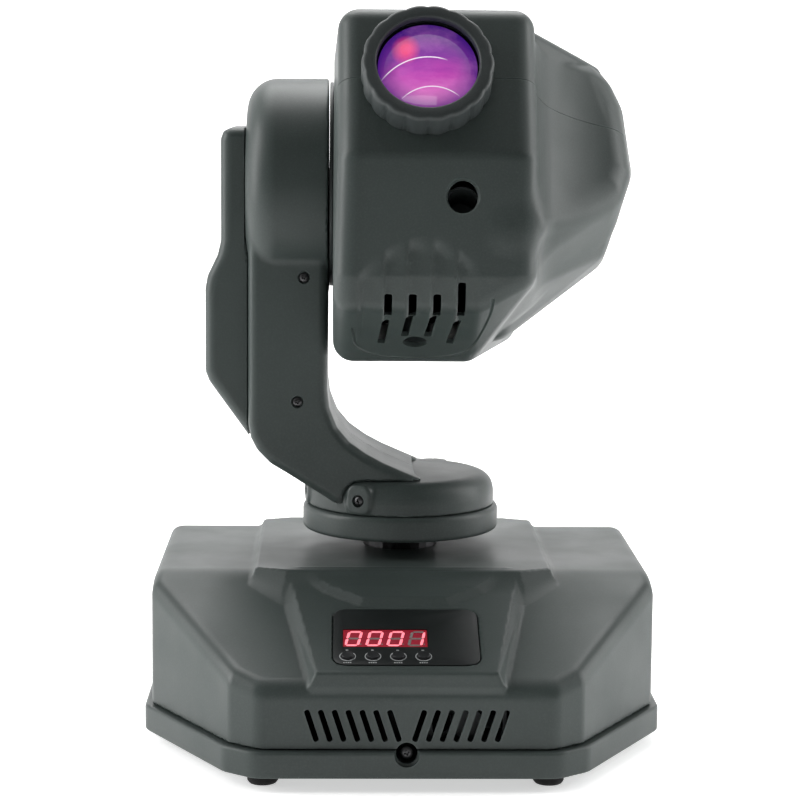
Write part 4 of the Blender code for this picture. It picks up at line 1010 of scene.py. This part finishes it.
def make_display():
    x, y = DISPLAY_AT
    levels = [(0.0, -2.2), (0.0, -0.5), (0.1, -0.28), (0.3, -0.2)]
    plate = as_mesh(loft(rectangle(*PANEL_SIZE, PANEL_CORNER, 10), levels))
    hole = as_mesh(turned(box((-25.45, -9.8, -5), (25.45, 9.8, 5)), Matrix.Translation((x, y, 0))))
    tools = [hole]
    for button_x in BUTTON_XS:
        at = Matrix.Translation((button_x, BUTTON_Y, 0))
        tools.append(as_mesh(turned(disc(BUTTON_RADIUS + 0.3, -5, 5), at)))
    plate = smooth_as(carve(plate, tools), [], 35)
    panel_piece(plate, "control_panel", "base", "panel_black", ["display_panel"])
    window = as_mesh(loft(rectangle(*DISPLAY_SIZE, 0.6, 3), [(0.0, -7.7), (0.0, -0.9), (0.25, -0.7)]))
    smooth_as(window, [], 35)
    panel_piece(window, "display_window", "base", "display_red", ["led_display"], (x, y, 0.0))
    lit, unlit = [], []
    for index, shown in enumerate(DIGITS):
        shift = (index - 1.5) * DIGIT_PITCH
        for name in SEGMENTS:
            outline = [(px + shift, py) for px, py in segment_points(name)]
            (lit if name in shown else unlit).append(outline)
        dot = [
            (shift + 4.3 + 0.6 * math.cos(a * math.pi / 4), -6.2 + 0.6 * math.sin(a * math.pi / 4))
            for a in range(8)
        ]
        unlit.append(dot)
    for outlines, name, look in ((lit, "segments_lit", LIT), (unlit, "segments_unlit", UNLIT)):
        panel_piece(flat_pieces(outlines, -0.72, -0.62), name, "base", "display_red", (), (x, y, 0.0), look)
    frame_rows = [(0.0, -0.68), (0.0, -0.6), (1.0, -0.6), (1.0, -0.68)]
    bm = bmesh.new()
    outline = rectangle(*DISPLAY_SIZE, 0.6, 3)
    loops = [[bm.verts.new((px, py, z)) for px, py in shrink(outline, inset)] for inset, z in frame_rows]
    for index in range(4):
        join_rings(bm, loops[index], loops[(index + 1) % 4], len(outline))
    panel_piece(as_mesh(bm), "display_border", "base", "display_red", (), (x, y, 0.0), BORDER)


def make_buttons():
    cap = eased([(0, -7), (3.6, -7), (3.6, 1.5), (2.6, 1.35), (0, 1.1)], 0.5, 5)
    for index, button_x in enumerate(BUTTON_XS):
        name = f"menu_button_{index + 1}"
        mesh = smooth_as(as_mesh(revolve(cap, 48)), [], 45)
        title = "button_cap_" + str(index + 1)
        panel_piece(mesh, title, name, "button_black", [name], (button_x, BUTTON_Y, 0.0))
    bm = bmesh.new()
    steps = 40
    for button_x in BUTTON_XS:
        rings = []
        for radius, z in ((4.35, -0.21), (4.95, -0.21), (4.95, -0.13), (4.35, -0.13)):
            turns = [2 * math.pi * s / steps for s in range(steps)]
            rings.append([
                bm.verts.new((button_x + radius * math.cos(a), BUTTON_Y + radius * math.sin(a), z))
                for a in turns
            ])
        for index in range(4):
            join_rings(bm, rings[index], rings[(index + 1) % 4], steps)
    mesh = smooth_as(as_mesh(bm), [], 40)
    panel_piece(mesh, "button_rings", "base", "panel_black", (), (0.0, 0.0, 0.0), PRINT)
    marks = []
    for index, button_x in enumerate(BUTTON_XS):
        for low, half in ((BUTTON_Y + 6.3, 1.1), (BUTTON_Y - 7.2, 2.6)):
            pieces = 1 if half < 2 else 4
            width = 2 * half / pieces
            for part in range(pieces):
                left = button_x - half + part * width
                right = left + width * 0.7
                marks.append([(left, low), (right, low), (right, low + 0.8), (left, low + 0.8)])
    mesh = flat_pieces(marks, -0.21, -0.14)
    panel_piece(mesh, "panel_marks", "base", "panel_black", (), (0.0, 0.0, 0.0), PRINT)


# ---------------------------------------------------------------- yoke

DISC_TOP = 138.0
TIER_RADIUS = 61.6
TIER_TOP = 158.4


def tier_body(x, y, z):
    """The domed cover on the turntable, with a screw boss on each quarter."""
    side = np.hypot(x, y)
    wall = side - TIER_RADIUS + 0.10 * np.maximum(z - 146.0, 0.0)
    dome = z - TIER_TOP - 1.6 * (1.0 - (side / 60.0) ** 2)
    body = smax(wall, dome, 11.0)
    for angle in BOSS_ANGLES:
        c, s = math.cos(math.radians(angle)), math.sin(math.radians(angle))
        out = x * c + y * s
        across = -x * s + y * c
        boss = smax(rounded_box(across, z - 148.5, 17.0, 19.0, 6.0), out - 62.9, 2.5)
        body = smin(body, np.maximum(boss, 40.0 - out), 3.0)
    return body


def tier_field(x, y, z):
    return smax(tier_body(x, y, z), DISC_TOP + GAP - z, 0.8)


BOSS_ANGLES = (-117.0, -63.0 + 180.0, 63.0, -172.0)


def make_turntable():
    disc_profile = eased([
        (16.3, 121.9), (64.4, 121.9, 3.0), (64.4, 138.0, 4.0), (16.3, 138.0),
    ], 0.5, 8)
    mesh = smooth_as(as_mesh(revolve(disc_profile, 144)), [], 40)
    place(mesh, "turntable_disc", "yoke", "body_grey", ["turntable"])
    cover = skin(tier_field, (-68, -68, 134), (68, 68, 166), 1.3, 0.4)
    hollow = revolve([(0, 130), (58.6, 130), (58.6, 147), (52.0, 154.6), (0, 155.4)], 96)
    tools = [as_mesh(hollow)]
    for angle in BOSS_ANGLES:
        place_at = Matrix.Rotation(math.radians(angle), 4, "Z") @ Matrix.Translation((62.9, 0, 147.5))
        bore = turned(disc(4.1, -2.2, 4.0, 40), Matrix.Rotation(math.radians(90.0), 4, "Y"))
        tools.append(as_mesh(turned(bore, place_at)))
    mesh = smooth_as(carve(cover, tools), [(tier_field, 1.0)])
    place(mesh, "turntable_dome", "yoke", "body_grey", ["turntable_cover"])
    for index, angle in enumerate(BOSS_ANGLES):
        turn = Matrix.Rotation(math.radians(angle), 4, "Z") @ Matrix.Rotation(math.radians(90.0), 4, "Y")
        at = Matrix.Rotation(math.radians(angle), 4, "Z") @ Vector((60.9, 0, 147.5))
        place_screw(f"dome_screw_{index + 1}", "yoke", at, turn, 3.3, 1.9, 0.8)


ARM_INNER_X = -48.4
ARM_OUTER_X = -99.0
ARM_HALF = 49.5
ARM = [
    (24.0, 139.0), (24.0, 155.0), (10.0, 161.0), (0.0, 165.2), (-12.0, 170.4), (-23.0, 176.2),
    (-34.0, 184.0), (-42.0, 193.5), (-47.0, 206.0), (ARM_INNER_X, 218.0), (ARM_INNER_X, TILT_HEIGHT),
    (ARM_OUTER_X, TILT_HEIGHT), (ARM_OUTER_X, 196.0), (-97.5, 187.0), (-93.5, 179.0), (-84.7, 170.0),
    (-73.0, 163.0), (-62.7, 156.5), (-50.0, 148.6), (-38.0, 140.5), (-30.0, 139.0),
]
arm_side_view = polygon(soften(ARM, 10.0, 4))
PUCK_RADIUS = 68.0
PUCK_END = 100.8
PUCK_ROUND = 20.0


def puck_field(x, y, z):
    radial = np.hypot(y, z - TILT_HEIGHT) - PUCK_RADIUS
    return smax(square_edge(radial, -x - PUCK_END, PUCK_ROUND), x - ARM_INNER_X, 1.2)


def arm_body(x, y, z):
    slab = square_edge(arm_side_view(x, z), np.abs(y) - ARM_HALF, 6.0)
    return smin(slab, puck_field(x, y, z), 2.5)


def arm_field(x, y, z):
    return smax(arm_body(x, y, z), 0.4 - tier_body(x, y, z), 0.8)


def arm_space(x, y, z):
    return arm_body(x, y, z) + WALL


ARM_SCREWS = ((-63.5, 290.0), (-67.5, 210.5))


def make_arm():
    whole = skin(arm_field, (-108, -74, 132), (32, 74, 422), 1.9, 0.32)
    inner = skin(arm_space, (-108, -74, 132), (32, 74, 422), 4.5, 0.15)
    axle_turn = Matrix.Translation((0, 0, TILT_HEIGHT)) @ ALONG_X
    axle_hole = as_mesh(turned(disc(17.0, 40, 60, 64), axle_turn))
    motor_opening = as_mesh(box((-110, -30, 208), (-90, 30, 264)))
    tools = [inner, axle_hole, motor_opening]
    recess = eased([(0, -1.7), (3.7, -1.7), (3.7, -0.5), (4.4, 0.3), (4.4, 6), (0, 6)], 0.3, 2)
    for x, z in ARM_SCREWS:
        tools.append(as_mesh(turned(revolve(recess, 48), Matrix.Translation((x, -ARM_HALF, z)) @ TO_FRONT)))
    whole = carve(whole, tools)
    for name, low, high in (("arm_front_shell", -90, -GAP / 2), ("arm_rear_shell", GAP / 2, 90)):
        half = carve(whole.copy(), [as_mesh(box((-200, low, 100), (60, high, 440)))], "INTERSECT")
        smooth_as(half, [(arm_field, 1.0)])
        place(half, name.replace("shell", "casing"), "yoke", "body_grey", [name])
    for (x, z), name in zip(ARM_SCREWS, ("arm_screw_upper", "arm_screw_lower")):
        place_screw(name + "_head", "yoke", (x, -ARM_HALF + 1.5, z), TO_FRONT, 3.2, 1.9, 0.9, [name])


MOTOR_COVER = [
    (-80.0, 383.7), (-110.5, 383.7), (-115.2, 381.5), (-117.0, 376.5), (-117.0, 312.0), (-119.0, 303.0),
    (-125.5, 289.5), (-127.0, 281.0), (-127.0, 228.0), (-124.5, 221.5), (-99.2, 186.4), (-80.0, 186.4),
]
motor_cover_view = polygon(MOTOR_COVER, 2.5)


def motor_cover_body(x, y, z):
    return square_edge(motor_cover_view(x, z), np.abs(y) - 38.0, 7.0)


def motor_cover_field(x, y, z):
    return smax(motor_cover_body(x, y, z), GAP - arm_body(x, y, z), 0.6)


def make_motor_cover():
    mesh = skin(motor_cover_field, (-134, -46, 176), (-72, 46, 394), 1.8, 0.34)
    keep = box((-140, -60, 170), (-94.0, 60, 400))
    inner = skin(lambda x, y, z: motor_cover_body(x, y, z) + WALL, (-134, -46, 176), (-72, 46, 394), 4.5, 0.2)
    inner = carve(inner, [as_mesh(box((-140, -60, 170), (-99.2, 60, 400)))], "INTERSECT")
    mesh = carve(carve(mesh, [as_mesh(keep)], "INTERSECT"), [inner])
    smooth_as(mesh, [(motor_cover_field, 1.0)])
    place(mesh, "tilt_motor_casing", "yoke", "body_grey", ["arm_motor_cover"])


# ---------------------------------------------------------------- head

HEAD_LEFT = -45.0
HEAD_RIGHT = 77.0
BULGE_RIGHT = 143.0
HEAD_TOP = 53.0
FRONT_FACE = 137.5
TAPER_FROM = 88.0
FRONT_TAPER = 3.0
BLOCK_ROUND = 13.0
WEDGE_ROUND = 9.0
BULGE_ROUND = 20.0


def local(x, forward, up):
    return (x, -forward, up)


def front_block_points():
    profile = [
        (FRONT_FACE, HEAD_TOP), (FRONT_FACE, -52.0), (101.5, -114.5), (88.0, -130.0), (10.0, -130.0),
        (-105.0, -63.0), (-137.5, -38.0), (-137.5, 32.0), (-120.0, HEAD_TOP),
        (88.0, HEAD_TOP),
    ]
    points = []
    for forward, up in profile:
        taper = max(0.0, forward - TAPER_FROM) / (FRONT_FACE - TAPER_FROM) * FRONT_TAPER
        points.append(local(HEAD_LEFT + taper, forward, up))
        points.append(local(HEAD_RIGHT if up > -120.0 else 42.0, forward, up))
    return points


def wedge_points():
    rows = []
    for x, forward, low in (
        (50.0, 112.0, -98.0), (77.0, 112.0, -88.0), (110.0, 80.5, -60.0),
        (124.8, 66.0, -50.0), (124.8, 40.0, -50.0), (50.0, 40.0, -98.0),
    ):
        rows.append(local(x, forward, HEAD_TOP))
        rows.append(local(x, forward, low))
    return rows


def bulge_points():
    rows = [
        (38.0, 83.0, HEAD_TOP), (107.0, 83.0, HEAD_TOP), (122.0, 66.0, HEAD_TOP - 1.0),
        (130.0, 46.0, HEAD_TOP - 1.0), (127.0, -92.0, HEAD_TOP), (38.0, -118.0, HEAD_TOP),
        (138.0, 55.0, 27.0), (138.0, -60.0, 27.0), (132.0, 74.0, 20.0),
        (BULGE_RIGHT, 50.0, -18.0), (BULGE_RIGHT, -50.0, 0.0), (138.0, 75.0, -36.0),
        (127.0, 77.0, -47.0), (126.0, 30.0, -65.0), (126.0, 10.0, -62.0), (60.0, 100.0, -98.0),
        (112.0, -104.0, 30.0), (112.0, -104.0, -10.0), (38.0, -132.0, 30.0), (38.0, -132.0, -34.0),
        (42.0, 88.0, -131.0), (42.0, 10.0, -131.0), (20.0, -105.0, -63.0), (118.0, -40.0, -34.0),
    ]
    return [local(*row) for row in rows]


head_block = convex(front_block_points(), BLOCK_ROUND)
head_wedge = convex(wedge_points(), WEDGE_ROUND)
head_bulge = convex(bulge_points(), BULGE_ROUND)


def ease(value, start, end):
    """0 before start, 1 after end, and a smooth step between."""
    share = np.clip((value - start) / (end - start), 0.0, 1.0)
    return share * share * (3.0 - 2.0 * share)


def head_body(x, y, z):
    forward = -y
    inner_corner = ease(z, -126.0, -106.0) * ease(-z, -46.0, -34.0) * ease(forward, 20.0, 45.0)
    k = 0.5 + 12.0 * inner_corner
    body = smin(head_block(x, y, z), head_wedge(x, y, z), k)
    return smin(body, head_bulge(x, y, z), k)


FLUTE_FIRST = -30.5
FLUTE_PITCH = 14.6
FLUTE_COUNT = 5
FLUTE_DROP = 2.6
VENT_MIDDLE = 8.5


def vent_depth(x, y, z):
    """How far the underside is sunk in the sloping flutes, one to each slot."""
    forward = -y
    off = (x - VENT_MIDDLE) / 40.0
    front = 113.0 - 12.0 * off * off
    along = (x - FLUTE_FIRST) / FLUTE_PITCH
    share = along - np.floor(along)
    flute = ease(share, 0.0, 0.22) * (1.0 - share)
    flute = flute * (along > 0) * (along < FLUTE_COUNT)
    length = ease(forward, 42.0, 62.0) * ease(-forward, -front - 1.0, -front + 6.0) * ease(-z, 20.0, 30.0)
    return FLUTE_DROP * flute * length


def head_field(x, y, z):
    return head_body(x, y, z) + vent_depth(x, y, z)


def head_space(x, y, z):
    return head_body(x, y, z) + vent_depth(x, y, z) + WALL


def slot_tool(x, forward, up, length, lean, skew):
    tool = loft(rectangle(4.8, length, 1.0, 3), [(0.0, -11.0), (0.0, 11.0)])
    turned(tool, Matrix.Rotation(math.radians(-lean), 4, "X") @ Matrix.Rotation(math.radians(skew), 4, "Z"))
    return as_mesh(turned(tool, Matrix.Translation(local(x, forward, up))))


FACET_NORMAL = Matrix.Rotation(math.radians(120.0), 4, "X")
TELLTALE = (31.6, 125.6, -72.7)
SCREW_WELL = (5.5, 41.0)


GROOVE = [
    (-33.0, 62.0), (-32.0, 48.0), (-31.0, 35.0), (-22.0, 22.0), (-7.0, 17.5), (8.0, 17.0),
    (24.0, 18.5), (36.0, 25.0), (42.5, 38.0), (46.5, 56.0), (50.0, 75.0), (50.5, 92.0),
]
GROOVE_RADIUS = 1.2


def groove_tool():
    """A round bar that follows the underside, for the shadow line round the vents."""
    path = np.array(GROOVE, float)
    for _ in range(3):
        cut = [path[:1]]
        for a, b in zip(path, path[1:]):
            cut.append(np.array([0.75 * a + 0.25 * b, 0.25 * a + 0.75 * b]))
        path = np.concatenate(cut + [path[-1:]])
    x, forward = path[:, 0], path[:, 1]
    z = np.full(len(x), -140.0)
    for _ in range(40):
        z = z + 0.9 * head_body(x, -forward, z)
    spine = np.stack([x, -forward, z], 1)
    along = np.gradient(spine, axis=0)
    along /= np.linalg.norm(along, axis=1)[:, None]
    up = np.array([0.0, 0.0, 1.0]) - along * along[:, 2:3]
    up /= np.linalg.norm(up, axis=1)[:, None]
    side = np.cross(along, up)
    bm = bmesh.new()
    loops = []
    for middle, u, v in zip(spine, up, side):
        ring = []
        for step in range(10):
            turn = 2 * math.pi * step / 10
            ring.append(bm.verts.new(middle + GROOVE_RADIUS * (math.cos(turn) * u + math.sin(turn) * v)))
        loops.append(ring)
    for a, b in zip(loops, loops[1:]):
        join_rings(bm, a, b, 10)
    bm.faces.new(loops[0])
    bm.faces.new(loops[-1])
    bmesh.ops.recalc_face_normals(bm, faces=bm.faces)
    return as_mesh(bm)


def head_tools():
    tools = [as_mesh(turned(disc(36.6, 60, 190, 96), Matrix.Translation((LENS_X, 0, 0)) @ TO_FRONT))]
    tools.append(as_mesh(turned(disc(20.0, 30, 60, 64), ALONG_X)))
    tools.append(as_mesh(turned(disc(9.0, 100, 160, 64), Matrix.Translation((31.6, 0, -72.7)) @ TO_FRONT)))
    flare = revolve([(0, -1.6), (9.0, -1.6), (10.6, 0.2), (10.6, 3), (0, 3)], 64)
    tools.append(as_mesh(turned(flare, Matrix.Translation(local(*TELLTALE)) @ FACET_NORMAL)))
    tools.append(as_mesh(turned(disc(7.6, -140, -118, 48), Matrix.Translation(local(*SCREW_WELL, 0.0)))))
    tools.append(groove_tool())
    for index in range(4):
        x = -12.5 + FLUTE_PITCH * index
        inner = index in (1, 2)
        middle, length = (89.0, 24.0) if index == 3 else (85.5, 17.0)
        tools.append(slot_tool(x + 0.6, middle, -126.0, length, 25.0, 0.0))
        near, length = (63.0, 27.0) if inner else (54.5, 31.0)
        tools.append(slot_tool(x - 1.6 - 0.4 * index, near, -130.0, length, 0.0, 4.5 + 0.7 * index))
    for index in range(6):
        x = LENS_X - 25.0 + 10.0 * index
        for low, high in ((-21.0, -5.0), (5.0, 21.0)):
            tools.append(as_mesh(box((x - 2.0, 125.0, low), (x + 2.0, 150.0, high))))
    return tools


def make_head():
    low, high = (-52, -146, -138), (152, 146, 60)
    whole = skin(head_field, low, high, 2.0, 0.34)
    inner = skin(head_space, low, high, 5.0, 0.15)
    whole = carve(whole, [inner] + head_tools())
    halves = (("head_lower_shell", -200, -GAP / 2), ("head_upper_shell", GAP / 2, 200))
    for name, bottom, top in halves:
        half = carve(whole.copy(), [as_mesh(box((-100, -200, bottom), (220, 200, top)))], "INTERSECT")
        smooth_as(half, [(head_field, 1.0)])
        casing = name.replace("shell", "casing")
        place(half, casing, "head", "body_grey", [name], HEAD_PLACE)
    for name, matrix, radius, depth in (
        ("service_hole_cup", Matrix.Translation(local(31.6, 118.0, -72.7)) @ TO_BACK, 9.9, 22.0),
        ("screw_well_cup", Matrix.Translation(local(*SCREW_WELL, -126.5)), 8.5, 10.0),
    ):
        cup = [
            (0, depth - 1.5), (radius - 1.1, depth - 1.5), (radius - 1.1, 0),
            (radius, 0), (radius, depth), (0, depth),
        ]
        mesh = smooth_as(as_mesh(revolve(cup, 48)), [], 40)
        place(mesh, name, "head", "dark_plastic", (), HEAD_PLACE @ matrix)


FLANGE_BORE = 15.3
FLANGE_RADIUS = 66.0
FLANGE_SPAN = (45.3, 47.6)


def make_flange():
    low, high = FLANGE_SPAN
    flange = [(FLANGE_BORE, low), (FLANGE_RADIUS, low), (FLANGE_RADIUS, high), (FLANGE_BORE, high)]
    flange = eased(flange, 0.7, 4)
    mesh = smooth_as(as_mesh(revolve(flange, 128)), [], 40)
    place(mesh, "tilt_flange_disc", "head", "dark_plastic", ["tilt_flange"], HEAD_PLACE @ ALONG_X)


RING_LOW = FRONT_FACE + GAP
RING_HIGH = FRONT_FACE + 19.5
RING_OUTER = 39.4
RING_OPENING = 30.4
SCALLOPS = 18
RING_NOSE = 3.2


def make_focus_ring():
    steps = SCALLOPS * 12
    turns = [2 * math.pi * step / steps for step in range(steps)]

    def scalloped(inset, depth):
        made = []
        for a in turns:
            wave = abs(math.cos(a * SCALLOPS / 2)) ** 0.8
            radius = RING_OUTER - inset - depth * (1.0 - wave)
            made.append((radius * math.cos(a), radius * math.sin(a)))
        return made

    def plain(radius):
        return [(radius * math.cos(a), radius * math.sin(a)) for a in turns]

    rows = [
        (scalloped(0.6, 0.9), RING_LOW), (scalloped(0.0, 1.0), RING_LOW + 0.6),
        (scalloped(0.0, 1.0), RING_HIGH - RING_NOSE),
    ]
    for step in range(1, 7):
        angle = math.radians(90.0 * step / 6)
        outline = scalloped(3.0 * (1 - math.cos(angle)), 0.4 + 0.6 * math.cos(angle))
        rows.append((outline, RING_HIGH - RING_NOSE + RING_NOSE * math.sin(angle)))
    rows += [
        (plain(31.9), RING_HIGH), (plain(31.2), RING_HIGH - 0.2), (plain(30.7), RING_HIGH - 0.8),
        (plain(RING_OPENING), RING_HIGH - 1.6),
        (plain(RING_OPENING), RING_HIGH - 5.0), (plain(36.3), FRONT_FACE + 7.3), (plain(36.3), RING_LOW),
    ]
    bm = bmesh.new()
    loops = [[bm.verts.new((x, y, z)) for x, y in outline] for outline, z in rows]
    for index in range(len(loops)):
        join_rings(bm, loops[index], loops[(index + 1) % len(loops)], steps)
    mesh = smooth_as(as_mesh(bm), [], 40)
    place(mesh, "focus_ring_grip", "focus_ring", "dark_plastic", ["focus_ring"], BEAM_PLACE)


def make_lens():
    profile = [(0, 146.9), (29.6, 146.9), (29.6, 148.6)]
    for step in range(1, 16):
        share = 1 - step / 16
        profile.append((29.6 * share, 148.9 + 6.1 * (1 - share ** 2)))
    profile.append((0, 155.0))
    mesh = smooth_as(as_mesh(revolve(profile, 128)), [], 50)
    place(mesh, "lens_with_painted_light", "front_lens_group", "lens_glass", ["front_lens"], BEAM_PLACE, LENS_PAINTED_LIGHT)


make_cover()
make_tray()
make_feet()
make_display()
make_buttons()
for end, name in ((-1, "base_screw_front"), (1, "base_screw_rear")):
    turn = TO_FRONT if end < 0 else TO_BACK
    place_screw(name + "_head", "base", (0, end * (COVER_FRONT - 2.5), SCREW_Z), turn, 4.0, 2.4, 0.6, [name])
make_turntable()
make_arm()
make_motor_cover()
make_head()
make_flange()
make_focus_ring()
make_lens()

# ---------------------------------------------------------------- stage, light and camera


def stage_floor():
    bm = bmesh.new()
    rows = []
    for y, z in [(-6.0, 0.0), (1.2, 0.0)] + [
        (1.2 + 1.2 * math.sin(a * math.pi / 24), 1.2 - 1.2 * math.cos(a * math.pi / 24)) for a in range(1, 13)
    ] + [(2.4, 5.0)]:
        rows.append([bm.verts.new((x, y, z - 0.0002)) for x in (-5.0, 5.0)])
    for a, b in zip(rows, rows[1:]):
        bm.faces.new((a[0], a[1], b[1], b[0]))
    mesh = as_mesh(bm)
    mesh.shade_smooth()
    floor = bpy.data.objects.new("floor", mesh)
    bpy.context.scene.collection.objects.link(floor)
    paint = Paint("floor_white", 0.85)
    pale = [(0.3, (0.90, 0.90, 0.90)), (0.7, (0.93, 0.93, 0.93))]
    paint.feed("Base Color", paint.ramp(paint.noise(3.0), pale))
    place_of = paint.nodes.new("ShaderNodeSeparateXYZ")
    paint.links.new(paint.where, place_of.inputs[0])
    paint.set("Emission Color", (1.0, 1.0, 1.0, 1.0))
    paint.feed("Emission Strength", paint.span(place_of.outputs["Y"], 0.0, 0.55, -0.8, -0.45))
    mesh.materials.append(paint.material)


def lamp(name, at, size, power, target=(0.0, 0.0, 0.25)):
    data = bpy.data.lights.new(name, "AREA")
    data.shape = "RECTANGLE"
    data.size, data.size_y = size
    data.energy = power
    item = bpy.data.objects.new(name, data)
    bpy.context.scene.collection.objects.link(item)
    item.location = at
    item.rotation_mode = "QUATERNION"
    item.rotation_quaternion = (Vector(target) - Vector(at)).to_track_quat("-Z", "Y")
    return item


def stage_light():
    """White all round the object but for a dark side where the camera stands."""
    world = bpy.data.worlds.new("studio")
    world.use_nodes = True
    nodes, links = world.node_tree.nodes, world.node_tree.links
    way = nodes.new("ShaderNodeTexCoord")
    split = nodes.new("ShaderNodeSeparateXYZ")
    links.new(way.outputs["Generated"], split.inputs[0])
    span = nodes.new("ShaderNodeMapRange")
    span.interpolation_type = "SMOOTHSTEP"
    for name, value in (("From Min", -0.75), ("From Max", 0.35), ("To Min", 0.0), ("To Max", 1.0)):
        span.inputs[name].default_value = value
    links.new(split.outputs["Y"], span.inputs["Value"])
    links.new(span.outputs["Result"], nodes["Background"].inputs[1])
    nodes["Background"].inputs[0].default_value = (1.0, 1.0, 1.0, 1.0)
    bpy.context.scene.world = world
    lamp("top_soft", (0.0, 1.0, 2.1), (1.8, 1.4), 40.0)
    lamp("left_soft", (-2.1, -0.1, 1.0), (0.9, 1.8), 40.0)
    lamp("edge_soft", (-0.3, -2.6, 1.5), (1.6, 0.4), 2.5)
    lamp("right_soft", (2.1, 0.2, 0.9), (0.9, 1.8), 25.0)
    bpy.context.scene.view_settings.view_transform = "Standard"


def stage_camera():
    data = bpy.data.cameras.new("camera")
    data.lens = 104.0
    data.sensor_width = 36.0
    camera = bpy.data.objects.new("camera", data)
    bpy.context.scene.collection.objects.link(camera)
    back = Vector((-0.02560, -0.99070, 0.13364)).normalized()
    side = Vector((0.99967, -0.02583, 0.0)).normalized()
    up = back.cross(side)
    roll = math.radians(0.5)
    right = side * math.cos(roll) + up * math.sin(roll)
    top = up * math.cos(roll) - side * math.sin(roll)
    turn = Matrix((right, top, back)).transposed().to_4x4()
    camera.matrix_world = Matrix.Translation((-0.0398, -1.5111, 0.4093)) @ turn
    bpy.context.scene.camera = camera


stage_floor()
stage_light()
stage_camera()
